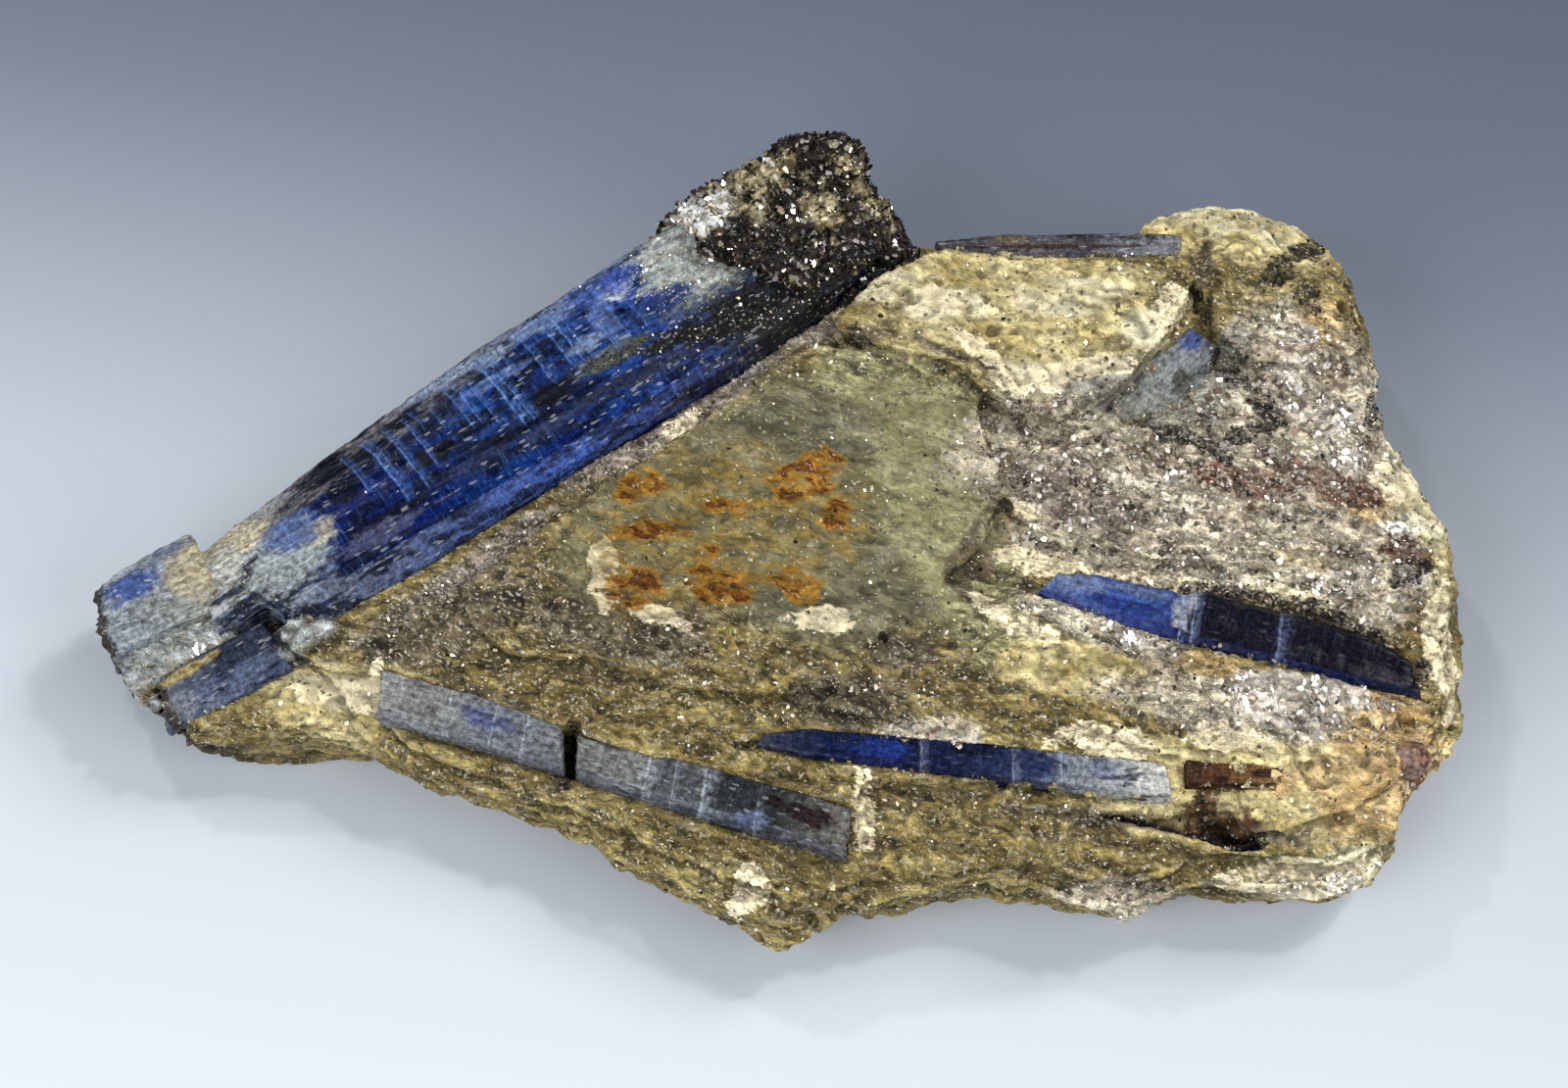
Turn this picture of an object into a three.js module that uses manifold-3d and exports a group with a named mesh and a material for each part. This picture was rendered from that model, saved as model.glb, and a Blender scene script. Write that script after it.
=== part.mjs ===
// A kyanite specimen: a slab of golden mica schist with kyanite blades lying in its upper face.
// Millimetres, +Z up. The slab lies on its flat cleavage face at z = 0 and its length runs along X. The origin
// is the centre of the bounding box's underside.
//
// The schist is built the way it splits, as a stack of foliation sheets joined into one solid. Each crystal is
// a loft of bladed cross-sections along its own axis, and the schist is cut back from it by a thin clearance.
import * as THREE from 'three';
import { ConvexGeometry } from 'three/addons/geometries/ConvexGeometry.js';
import { mergeVertices } from 'three/addons/utils/BufferGeometryUtils.js';
import Module from 'manifold-3d';

const wasm = await Module();
wasm.setup();

// ---------------------------------------------------------------- driving dimensions

const CLEARANCE = 0.3; // between a crystal and the schist that holds it
const SHEET_OVERLAP = 0.25; // how far each foliation sheet reaches into the one below
const BASE_SHEET_TOPS = [1.8, 3.4, 4.9, 6.6, 8.9]; // the sheets that run through the whole slab
const BASE_SHEET_INSETS = [3.9, 2.8, 1.7, 0.6, 0.2]; // how far their edges lie inside the slab's outline
const SLAB_HEART = new THREE.Vector2(2, -6); // the outlines shrink towards this point
const MAIN_START = new THREE.Vector3(-44.9, -7.2, 8.8); // the large blade's axis
const MAIN_END = new THREE.Vector3(4.5, 27.3, 12.7);

const SCHIST = new THREE.MeshStandardMaterial({ color: 0x8d7f4e, roughness: 0.55, metalness: 0.0 });
const BIOTITE = new THREE.MeshStandardMaterial({ color: 0x24231f, roughness: 0.35, metalness: 0.0 });
const DEEP_BLUE = new THREE.MeshStandardMaterial({ color: 0x1d3378, roughness: 0.25, metalness: 0.0 });
const PALE_BLUE = new THREE.MeshStandardMaterial({ color: 0x8d9cbc, roughness: 0.3, metalness: 0.0 });
const GREY_BLUE = new THREE.MeshStandardMaterial({ color: 0x76808c, roughness: 0.3, metalness: 0.0 });
const NAVY = new THREE.MeshStandardMaterial({ color: 0x121a3a, roughness: 0.25, metalness: 0.0 });
const RUST = new THREE.MeshStandardMaterial({ color: 0x3a2118, roughness: 0.5, metalness: 0.0 });
const GARNET = new THREE.MeshStandardMaterial({ color: 0x4a2420, roughness: 0.35, metalness: 0.0 });

// ---------------------------------------------------------------- solids

// A closed geometry as a manifold-3d solid.
function solidOf(geometry) {
  const bare = geometry.clone();
  for (const name of Object.keys(bare.attributes)) {
    if (name !== 'position') bare.deleteAttribute(name);
  }
  const merged = mergeVertices(bare, 1e-4);
  return new wasm.Manifold(
    new wasm.Mesh({
      numProp: 3,
      vertProperties: new Float32Array(merged.attributes.position.array),
      triVerts: new Uint32Array(merged.index.array),
    }),
  );
}

// A manifold-3d solid as a three.js geometry.
function geometryOf(solid) {
  const mesh = solid.getMesh();
  return new THREE.BufferGeometry()
    .setAttribute('position', new THREE.BufferAttribute(new Float32Array(mesh.vertProperties), 3))
    .setIndex(new THREE.BufferAttribute(new Uint32Array(mesh.triVerts), 1));
}

// The largest body of a solid, without the crumbs that a cut can leave.
function largestBody(solid) {
  return solid.decompose().reduce((best, body) => (body.volume() > best.volume() ? body : best));
}

// Rings of points joined into a tube with flat convex ends.
function loftGeometry(rings) {
  const sides = rings[0].length;
  const last = (rings.length - 1) * sides;
  const index = [];
  for (let r = 0; r + 1 < rings.length; r++) {
    for (let i = 0; i < sides; i++) {
      const a = r * sides + i;
      const b = r * sides + ((i + 1) % sides);
      index.push(a, b, b + sides, a, b + sides, a + sides);
    }
  }
  for (let i = 1; i + 1 < sides; i++) {
    index.push(0, i + 1, i, last, last + i, last + i + 1);
  }
  return new THREE.BufferGeometry().setFromPoints(rings.flat()).setIndex(index);
}

// A convex section moved outwards by the same distance on every side.
function grown(section, distance) {
  const count = section.length;
  const outward = section.map((p, i) => {
    const edge = section[(i + 1) % count].clone().sub(p).normalize();
    return new THREE.Vector2(edge.y, -edge.x);
  });
  return section.map((p, i) => {
    const before = outward[(i + count - 1) % count];
    const after = outward[i];
    const reach = distance / (1 + before.dot(after));
    return p.clone().add(before.clone().add(after).multiplyScalar(reach));
  });
}

// ---------------------------------------------------------------- crystals

// Eight corners of a blade's section: x runs across the blade and y up, counter-clockwise.
function bladeSection({ left, right, top, bottom, bevelLeft = 0.6, bevelRight = 0.6, drop = 0.5 }) {
  const foot = Math.min(0.7, 0.3 * (left + right));
  return [
    new THREE.Vector2(-right, top - drop - bevelRight * 0.8),
    new THREE.Vector2(-right, -bottom + 0.6),
    new THREE.Vector2(-right + foot, -bottom),
    new THREE.Vector2(left - foot, -bottom),
    new THREE.Vector2(left, -bottom + 0.6),
    new THREE.Vector2(left, top - bevelLeft * 0.8),
    new THREE.Vector2(left - bevelLeft, top),
    new THREE.Vector2(-right + bevelRight, top - drop),
  ];
}

// A crystal's solid. from and to are the ends of its axis, stations lists its sections at shares of that
// length, and skew slants each end by that much per millimetre across and up. A positive clearance makes the
// hollow that the crystal sits in.
function crystalSolid({ from, to, stations, skewStart = [0, 0], skewEnd = [0, 0] }, clearance = 0) {
  const along = to.clone().sub(from);
  const length = along.length();
  along.normalize();
  const across = new THREE.Vector3(0, 0, 1).cross(along).normalize();
  const up = along.clone().cross(across);
  const rings = stations.map(({ at, ...sizes }, i) => {
    const end = i === 0 ? -1 : i === stations.length - 1 ? 1 : 0;
    const skew = end < 0 ? skewStart : end > 0 ? skewEnd : [0, 0];
    return grown(bladeSection(sizes), clearance).map((p) => {
      const run = at * length + skew[0] * p.x + skew[1] * p.y + end * clearance;
      return from.clone().addScaledVector(along, run).addScaledVector(across, p.x).addScaledVector(up, p.y);
    });
  });
  return solidOf(loftGeometry(rings));
}

const point = (x, y, z) => new THREE.Vector3(x, y, z);

const CRYSTALS = {
  // The large blade. Its outer bevel narrows towards the upper end, and its full width starts where the foot
  // blade ends.
  large_blade: {
    material: DEEP_BLUE,
    from: MAIN_START,
    to: MAIN_END,
    skewStart: [0.25, 0],
    stations: [
      { at: 0.0, left: 4.9, right: 2.5, top: 3.6, bottom: 3.0, bevelLeft: 2.8, bevelRight: 0.9 },
      { at: 0.055, left: 5.2, right: 2.7, top: 3.9, bottom: 3.4, bevelLeft: 3.2, bevelRight: 0.9 },
      { at: 0.08, left: 5.4, right: 6.6, top: 3.9, bottom: 3.6, bevelLeft: 3.4, bevelRight: 2.0 },
      { at: 0.27, left: 6.6, right: 7.2, top: 4.0, bottom: 3.8, bevelLeft: 4.2, bevelRight: 2.0 },
      { at: 0.52, left: 6.4, right: 7.1, top: 4.1, bottom: 3.9, bevelLeft: 2.4, bevelRight: 1.2 },
      { at: 0.74, left: 6.0, right: 7.6, top: 4.2, bottom: 4.0, bevelLeft: 0.8, bevelRight: 1.0 },
      { at: 1.0, left: 5.9, right: 6.4, top: 3.6, bottom: 3.6, bevelLeft: 1.4, bevelRight: 1.4 },
    ],
  },
  // The clear end segment, broken from the large blade and shifted outwards.
  tip_segment: {
    material: PALE_BLUE,
    from: point(-53.8, -8.6, 9.0),
    to: point(-46.7, -3.6, 9.6),
    skewStart: [0.3, 0.1],
    skewEnd: [0.25, 0],
    stations: [
      { at: 0.0, left: 2.6, right: 3.2, top: 2.4, bottom: 2.6, bevelLeft: 1.4, bevelRight: 0.9 },
      { at: 0.3, left: 3.3, right: 3.9, top: 3.3, bottom: 2.9, bevelLeft: 1.8, bevelRight: 1.1 },
      { at: 1.0, left: 2.7, right: 4.4, top: 3.4, bottom: 2.9, bevelLeft: 1.9, bevelRight: 1.1 },
    ],
  },
  // A small blade under the large one and parallel to it.
  foot_blade: {
    material: GREY_BLUE,
    from: point(-49.2, -15.6, 8.5),
    to: point(-39.7, -10.3, 9.4),
    skewStart: [0.4, 0],
    skewEnd: [-0.1, 0],
    stations: [
      { at: 0.0, left: 1.9, right: 1.9, top: 1.7, bottom: 2.0, bevelLeft: 0.5, bevelRight: 1.4 },
      { at: 0.45, left: 2.2, right: 2.2, top: 2.0, bottom: 2.2, bevelLeft: 0.5, bevelRight: 1.8 },
      { at: 1.0, left: 2.2, right: 2.1, top: 2.0, bottom: 2.2, bevelLeft: 0.5, bevelRight: 1.7 },
    ],
  },
  // The grey blade, parted in two at a black break.
  grey_blade_upper: {
    material: GREY_BLUE,
    from: point(-31.1, -15.2, 10.2),
    to: point(-16.9, -19.8, 10.5),
    skewStart: [-0.2, 0],
    skewEnd: [-0.35, 0],
    stations: [
      { at: 0.0, left: 1.9, right: 1.9, top: 1.7, bottom: 1.8, bevelLeft: 0.3, bevelRight: 0.5 },
      { at: 0.5, left: 2.0, right: 1.9, top: 1.8, bottom: 1.9, bevelLeft: 0.3, bevelRight: 0.5 },
      { at: 1.0, left: 1.6, right: 1.8, top: 1.7, bottom: 1.8, bevelLeft: 0.3, bevelRight: 0.5 },
    ],
  },
  grey_blade_lower: {
    material: GREY_BLUE,
    from: point(-15.4, -20.4, 10.4),
    to: point(5.7, -27.0, 10.3),
    skewStart: [-0.35, 0],
    skewEnd: [-0.25, 0],
    stations: [
      { at: 0.0, left: 1.6, right: 1.7, top: 1.4, bottom: 1.8, bevelLeft: 0.3, bevelRight: 0.4 },
      { at: 0.27, left: 1.6, right: 1.7, top: 1.5, bottom: 1.8, bevelLeft: 0.3, bevelRight: 0.4 },
      { at: 0.3, left: 1.9, right: 1.8, top: 1.8, bottom: 1.8, bevelLeft: 0.3, bevelRight: 0.5 },
      { at: 0.8, left: 2.0, right: 1.9, top: 1.8, bottom: 1.8, bevelLeft: 0.3, bevelRight: 0.5 },
      { at: 1.0, left: 2.0, right: 1.9, top: 1.6, bottom: 1.8, bevelLeft: 0.4, bevelRight: 0.5 },
    ],
  },
  // The thin dark blade that lies along the ledge.
  navy_blade: {
    material: NAVY,
    from: point(-1.0, -19.2, 11.4),
    to: point(30.6, -22.7, 11.0),
    skewStart: [0.8, 0],
    skewEnd: [-0.3, 0],
    stations: [
      { at: 0.0, left: 0.5, right: 0.7, top: 0.9, bottom: 1.3, bevelLeft: 0.2, bevelRight: 0.3, drop: 0.1 },
      { at: 0.12, left: 1.1, right: 1.3, top: 1.2, bottom: 1.6, bevelLeft: 0.3, bevelRight: 0.4, drop: 0.2 },
      { at: 0.5, left: 1.3, right: 1.4, top: 1.3, bottom: 1.8, bevelLeft: 0.3, bevelRight: 0.4, drop: 0.2 },
      { at: 0.95, left: 1.4, right: 1.5, top: 1.3, bottom: 1.7, bevelLeft: 0.3, bevelRight: 0.4, drop: 0.2 },
      { at: 1.0, left: 1.3, right: 1.4, top: 1.2, bottom: 1.6, bevelLeft: 0.3, bevelRight: 0.4, drop: 0.2 },
    ],
  },
  // The iron-stained stub past the navy blade's end, over the open pocket.
  rusty_stub: {
    material: RUST,
    from: point(31.7, -22.3, 11.4),
    to: point(39.2, -22.6, 11.3),
    skewEnd: [0.3, 0],
    stations: [
      { at: 0.0, left: 1.1, right: 1.1, top: 1.1, bottom: 1.0, bevelLeft: 0.2, bevelRight: 0.3, drop: 0.1 },
      { at: 1.0, left: 1.0, right: 1.0, top: 0.9, bottom: 0.9, bevelLeft: 0.2, bevelRight: 0.3, drop: 0.1 },
    ],
  },
  // The blade let into the right of the slab, blue at its pointed end and nearly black beyond the parting.
  inset_blade: {
    material: NAVY,
    from: point(21.4, -6.1, 11.6),
    to: point(50.4, -14.2, 11.4),
    skewStart: [0.7, 0],
    skewEnd: [-0.5, 0],
    stations: [
      { at: 0.0, left: 1.2, right: 1.2, top: 1.4, bottom: 1.6, bevelLeft: 0.4, bevelRight: 0.7 },
      { at: 0.12, left: 1.8, right: 1.8, top: 1.7, bottom: 1.9, bevelLeft: 0.5, bevelRight: 0.8 },
      { at: 0.37, left: 2.0, right: 2.0, top: 1.8, bottom: 2.0, bevelLeft: 0.5, bevelRight: 0.8 },
      { at: 0.39, left: 2.7, right: 2.1, top: 1.6, bottom: 2.0, bevelLeft: 0.9, bevelRight: 0.8 },
      { at: 0.6, left: 2.8, right: 2.2, top: 1.6, bottom: 2.0, bevelLeft: 0.9, bevelRight: 0.8 },
      { at: 0.85, left: 2.6, right: 2.0, top: 1.5, bottom: 2.0, bevelLeft: 0.9, bevelRight: 0.7 },
      { at: 1.0, left: 1.4, right: 1.5, top: 1.1, bottom: 1.8, bevelLeft: 0.4, bevelRight: 0.5 },
    ],
  },
  // The slim blade along the slab's back rim.
  rim_blade: {
    material: GREY_BLUE,
    from: point(13.4, 23.6, 14.0),
    to: point(33.4, 23.9, 13.9),
    skewStart: [-0.6, 0],
    skewEnd: [0.2, 0],
    stations: [
      { at: 0.0, left: 0.7, right: 0.7, top: 0.8, bottom: 1.4, bevelLeft: 0.3, bevelRight: 0.3, drop: 0.1 },
      { at: 0.3, left: 1.2, right: 1.2, top: 1.1, bottom: 1.8, bevelLeft: 0.4, bevelRight: 0.4, drop: 0.2 },
      { at: 1.0, left: 1.1, right: 1.1, top: 1.0, bottom: 1.7, bevelLeft: 0.4, bevelRight: 0.4, drop: 0.2 },
    ],
  },
  // A pale crystal that breaks the surface beside the upper sheet.
  buried_blade: {
    material: GREY_BLUE,
    from: point(28.0, 8.9, 11.3),
    to: point(35.2, 15.9, 12.4),
    skewStart: [0.3, 0],
    skewEnd: [-0.2, 0],
    stations: [
      { at: 0.0, left: 1.5, right: 2.2, top: 1.5, bottom: 1.8, bevelLeft: 0.4, bevelRight: 0.6 },
      { at: 0.5, left: 1.9, right: 3.0, top: 1.7, bottom: 2.0, bevelLeft: 0.4, bevelRight: 0.6 },
      { at: 1.0, left: 1.5, right: 1.5, top: 1.5, bottom: 1.8, bevelLeft: 0.4, bevelRight: 0.6 },
    ],
  },
};

// ---------------------------------------------------------------- schist

const plan = (...pairs) => pairs.map(([x, y]) => new THREE.Vector2(x, y));

// The slab's outline, clockwise from the left end: under the large blade, back rim, right end, front.
const SLAB_OUTLINE = plan(
  [-55.3, -6.3], [-54.2, -3.4], [-50.0, -2.6], [-44.5, -0.6], [-37.5, 5.2], [-30.5, 10.6], [-24.0, 15.6],
  [-18.0, 20.0], [-12.0, 24.4], [-5.0, 28.6], [2.0, 31.6], [8.0, 30.0], [11.2, 26.0], [14.0, 25.0],
  [21.0, 25.7], [28.3, 25.7], [30.3, 27.4], [33.2, 28.6], [37.0, 29.2], [41.2, 28.4], [45.2, 26.0],
  [47.6, 22.4], [49.0, 19.6], [49.6, 15.0], [49.5, 11.0], [50.0, 7.0], [51.8, 5.0], [53.8, 1.8],
  [54.6, -2.0], [54.3, -7.0], [54.7, -12.0], [54.2, -16.0], [53.1, -19.0], [51.2, -21.2], [49.3, -23.6],
  [48.6, -26.8], [46.5, -28.9], [43.0, -30.2], [38.0, -30.5], [34.5, -29.7], [31.0, -30.7], [27.0, -31.9],
  [23.5, -31.7], [20.0, -30.5], [16.0, -30.3], [11.0, -31.4], [7.0, -32.1], [5.3, -31.6], [2.2, -34.2],
  [0.0, -34.4], [-3.0, -32.9], [-8.0, -30.1], [-12.5, -27.8], [-15.0, -25.7], [-21.0, -23.5],
  [-27.0, -21.2], [-30.0, -19.6], [-33.0, -17.8], [-39.0, -17.1], [-43.0, -17.5], [-47.8, -17.2],
  [-49.8, -15.2], [-53.0, -11.0], [-55.0, -8.4],
);

// A broken edge is never smooth: this moves an outline's points in and out by up to about half a millimetre.
function raggedness(angle, seed) {
  const lobes = 0.28 * Math.sin(9 * angle + seed);
  const teeth = 0.2 * Math.sin(23 * angle + 2.7 * seed) + 0.12 * Math.sin(41 * angle + 1.3 * seed);
  return lobes + teeth;
}

// An outline drawn in towards the slab's heart and made ragged.
function brokenOutline(outline, inset, seed) {
  return outline.map((p) => {
    const ray = p.clone().sub(SLAB_HEART);
    const reach = ray.length() - inset + raggedness(ray.angle(), seed);
    return ray.setLength(reach).add(SLAB_HEART);
  });
}

// One foliation sheet: an extruded outline whose upper face may dip by dip[0] along X and dip[1] along Y.
function sheetSolid(outline, bottom, top, dip = [0, 0]) {
  const shape = new THREE.Shape(outline);
  const sheet = new THREE.ExtrudeGeometry(shape, { depth: top - bottom, bevelEnabled: false });
  sheet.translate(0, 0, bottom);
  const position = sheet.attributes.position;
  const heart = outline.reduce((sum, p) => sum.add(p), new THREE.Vector2()).divideScalar(outline.length);
  for (let i = 0; i < position.count; i++) {
    if (position.getZ(i) > (top + bottom) / 2) {
      const tilt = dip[0] * (position.getX(i) - heart.x) + dip[1] * (position.getY(i) - heart.y);
      position.setZ(i, top + tilt);
    }
  }
  return solidOf(sheet);
}

// The sheets that are left only in places, from the lowest up.
const PARTIAL_SHEETS = [
  // the ledge above the front rim, which stops short of the left end
  {
    top: 10.3, dip: [0, 0.012], seed: 1.7,
    outline: plan(
      [-35.0, -7.0], [-30.0, 6.0], [-12.0, 21.0], [2.0, 29.0], [10.0, 26.3], [27.0, 25.0], [33.0, 28.0],
      [40.0, 28.0], [45.8, 24.3], [48.6, 17.0], [49.0, 7.5], [51.6, 4.0], [53.8, -1.0], [53.7, -12.0],
      [52.8, -18.0], [49.0, -23.0], [47.9, -27.0], [43.0, -28.9], [34.0, -28.2], [27.0, -30.2],
      [20.0, -29.0], [11.0, -29.8], [6.4, -30.4], [5.0, -30.8], [1.0, -32.2], [-3.0, -30.5],
      [-9.0, -27.2], [-15.0, -24.3], [-22.0, -22.1], [-28.0, -19.6], [-32.6, -16.4], [-36.0, -12.0],
    ),
  },
  // the body of the slab behind the front blades
  {
    top: 11.9, dip: [0.004, 0.01], seed: 3.1,
    outline: plan(
      [-38.0, -10.6], [-36.0, -7.0], [-24.0, 2.0], [-10.0, 12.0], [-2.0, 17.0], [8.0, 22.0], [12.5, 24.2],
      [28.0, 24.6], [32.0, 26.4], [40.0, 27.4], [45.0, 24.0], [48.4, 17.0], [48.9, 11.5], [49.1, 7.0],
      [51.4, 3.8], [54.0, -1.0], [53.8, -7.0], [52.9, -13.0], [51.8, -17.5], [48.2, -22.4], [45.0, -25.0],
      [37.0, -26.2], [31.0, -24.6], [22.0, -23.8], [13.0, -22.8], [6.6, -22.6], [6.2, -25.8],
      [-3.0, -23.4], [-10.0, -21.0], [-16.5, -18.9], [-20.5, -17.4], [-25.0, -15.6], [-31.5, -13.8],
      [-35.0, -12.6],
    ),
  },
  // the smooth greenish face in the middle
  {
    top: 13.1, dip: [0.014, 0.006], seed: 4.4,
    outline: plan(
      [-24.8, -6.4], [-18.0, -0.6], [-11.0, 4.2], [-3.0, 10.8], [3.0, 15.6], [15.4, 13.0], [17.2, 6.9],
      [18.7, 1.8], [17.0, -1.2], [13.6, -5.6], [12.2, -8.8], [8.4, -10.8], [6.5, -14.0], [0.0, -15.6],
      [-7.0, -14.6], [-14.8, -12.8], [-20.8, -12.2], [-24.4, -9.8],
    ),
  },
  // the coarse silvery ground of the right half, above and below the inset blade
  {
    top: 12.9, dip: [-0.01, 0.012], seed: 5.2,
    outline: plan(
      [18.0, -0.5], [20.5, 5.0], [27.0, 9.0], [36.0, 12.5], [42.0, 15.0], [47.6, 14.0], [47.9, 7.5],
      [50.4, 2.0], [52.8, -3.0], [52.0, -8.4], [44.0, -6.1], [36.0, -4.4], [28.0, -3.2], [22.0, -2.4],
    ),
  },
  {
    top: 12.7, dip: [-0.008, 0.02], seed: 6.6,
    outline: plan(
      [12.8, -6.0], [20.5, -7.2], [30.0, -10.6], [41.0, -13.6], [49.6, -16.4], [49.0, -19.6],
      [44.0, -21.4], [32.0, -20.4], [20.0, -19.8], [8.0, -18.6], [3.5, -16.8], [8.0, -12.0],
    ),
  },
  // the golden sheet that overlies the middle face
  {
    top: 15.0, dip: [-0.02, 0.012], seed: 7.9,
    outline: plan(
      [4.6, 16.4], [7.0, 18.8], [11.5, 22.2], [14.0, 23.8], [21.0, 24.4], [28.5, 24.3], [33.2, 23.2],
      [33.8, 19.2], [31.6, 15.2], [28.4, 11.0], [23.0, 8.8], [18.8, 8.6], [16.0, 10.4], [15.2, 12.8],
      [11.8, 13.5],
    ),
  },
  // the rounded lobe at the back right
  {
    top: 14.2, dip: [-0.04, -0.02], seed: 9.3,
    outline: plan(
      [29.6, 25.4], [31.6, 27.0], [35.0, 28.0], [39.0, 27.9], [42.6, 26.4], [45.6, 23.6], [47.4, 19.8],
      [48.4, 15.2], [44.6, 13.0], [39.0, 12.8], [36.0, 15.2], [34.6, 19.6], [33.6, 24.0],
    ),
  },
  // its thin upper sheet
  {
    top: 14.9, dip: [-0.03, -0.04], seed: 10.8,
    outline: plan(
      [30.8, 25.2], [33.0, 26.7], [36.6, 27.2], [40.4, 26.0], [42.2, 22.8], [40.6, 19.8], [36.6, 20.0],
      [34.4, 23.2],
    ),
  },
];

// Everything outside the large blade above this height has broken away with its own sheets.
function openSideSolid() {
  const run = MAIN_END.clone().sub(MAIN_START);
  const side = new THREE.BoxGeometry(run.length() + 24, 14, 20);
  side.translate(0, 7 + 1.5, 10);
  side.rotateZ(Math.atan2(run.y, run.x));
  side.translate((MAIN_START.x + MAIN_END.x) / 2 - 6, (MAIN_START.y + MAIN_END.y) / 2 - 4, 7.6);
  return solidOf(side);
}

// The pocket under the rusty stub and the slot of the grey blade's black break.
function pocketSolid(outline, bottom) {
  return sheetSolid(outline, bottom, 20);
}
const POCKETS = [
  { bottom: 7.4, outline: plan([27.4, -24.9], [31.0, -24.3], [35.9, -23.6], [37.2, -26.9], [33.0, -26.4]) },
  { bottom: 8.2, outline: plan([-16.9, -18.1], [-15.2, -18.1], [-15.5, -22.3], [-17.2, -22.0]) },
];

// The dark mica lump that has grown over the large blade's upper end.
function crustLumpSolid() {
  const body = new ConvexGeometry([
    point(-7.0, 20.4, 12), point(1.0, 16.2, 11.8), point(8.0, 20.4, 11.8), point(12.0, 23.8, 11),
    point(9.8, 28.4, 10), point(4.0, 32.6, 10), point(-1.6, 31.6, 11.6), point(-10.6, 26.0, 11.8),
    point(-6.0, 22.6, 17.4), point(2.5, 19.2, 16.6), point(8.6, 22.6, 16.2), point(9.0, 26.8, 16),
    point(3.0, 30.0, 17.4), point(-2.6, 30.2, 16.9), point(-8.2, 26.4, 16.4),
  ]);
  const peak = new ConvexGeometry([
    point(0.2, 28.4, 13), point(7.6, 28.2, 12), point(8.2, 30.6, 11), point(5.0, 33.6, 10.5),
    point(-0.4, 31.8, 11), point(-0.6, 31.4, 18.0), point(2.6, 31.2, 19.6), point(5.4, 30.8, 20.2),
    point(6.8, 31.0, 18.2), point(1.6, 28.6, 18.6),
  ]);
  const shoulder = new ConvexGeometry([
    point(-4.6, 25.8, 15), point(2.4, 24.0, 15), point(3.6, 29.6, 15), point(-2.6, 30.6, 14),
    point(-2.4, 27.4, 18.6), point(1.6, 26.4, 18.2), point(0.8, 29.6, 19.0),
  ]);
  const tongue = new ConvexGeometry([
    point(-6.0, 15.4, 12.2), point(-2.4, 14.4, 12.0), point(4.6, 18.4, 12.0), point(3.0, 20.6, 12.0),
    point(-5.6, 17.4, 12.4), point(-4.6, 16.2, 15.6), point(1.6, 18.4, 15.9), point(2.4, 19.8, 15.8),
  ]);
  return [peak, shoulder, tongue].reduce((lump, part) => lump.add(solidOf(part)), solidOf(body));
}

function garnetSolid(clearance = 0) {
  const grain = new THREE.DodecahedronGeometry(1.5 + clearance);
  grain.rotateX(0.4);
  grain.translate(49.6, -20.3, 10.4);
  return solidOf(grain);
}

// ---------------------------------------------------------------- assembly

function schistSolid() {
  let slab = null;
  let bottom = 0;
  BASE_SHEET_TOPS.forEach((top, i) => {
    const sheet = sheetSolid(brokenOutline(SLAB_OUTLINE, BASE_SHEET_INSETS[i], i * 1.9), bottom, top);
    slab = slab ? slab.add(sheet) : sheet;
    bottom = top - SHEET_OVERLAP;
  });
  for (const { outline, top, dip, seed } of PARTIAL_SHEETS) {
    slab = slab.add(sheetSolid(brokenOutline(outline, 0, seed), bottom - 1, top, dip));
  }
  slab = slab.subtract(openSideSolid());
  for (const { outline, bottom: floor } of POCKETS) {
    slab = slab.subtract(pocketSolid(outline, floor));
  }
  for (const crystal of Object.values(CRYSTALS)) {
    slab = slab.subtract(crystalSolid(crystal, CLEARANCE));
  }
  return largestBody(slab.subtract(garnetSolid(CLEARANCE)));
}

function crustSolid(schist) {
  return largestBody(
    crustLumpSolid()
      .subtract(crystalSolid(CRYSTALS.large_blade, CLEARANCE))
      .subtract(crystalSolid(CRYSTALS.rim_blade, CLEARANCE))
      .subtract(schist)
      .subtract(schist.translate([0, 0, CLEARANCE])),
  );
}

function namedMesh(name, solid, material) {
  const mesh = new THREE.Mesh(geometryOf(solid), material);
  mesh.name = name;
  return mesh;
}

const specimen = new THREE.Group();
const schist = schistSolid();
specimen.add(namedMesh('schist_matrix', schist, SCHIST));
specimen.add(namedMesh('biotite_crust', crustSolid(schist), BIOTITE));
for (const [name, crystal] of Object.entries(CRYSTALS)) {
  specimen.add(namedMesh(name, crystalSolid(crystal), crystal.material));
}
specimen.add(namedMesh('garnet_grain', garnetSolid(), GARNET));

// The origin goes to the centre of the underside.
const box = new THREE.Box3().setFromObject(specimen);
const centre = box.getCenter(new THREE.Vector3());
specimen.position.set(-centre.x, -centre.y, -box.min.z);

export default specimen;
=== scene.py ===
# %% [markdown]
# # A kyanite specimen
# A slab of golden mica schist holds kyanite crystals: long, flat, blue blades that grew in the rock as it was
# squeezed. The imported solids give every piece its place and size. Here each one gets the surface of the real
# mineral.

# %% Load the solids
import math
import bmesh
import bpy
import numpy as np
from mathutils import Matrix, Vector
from mathutils.bvhtree import BVHTree


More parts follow.
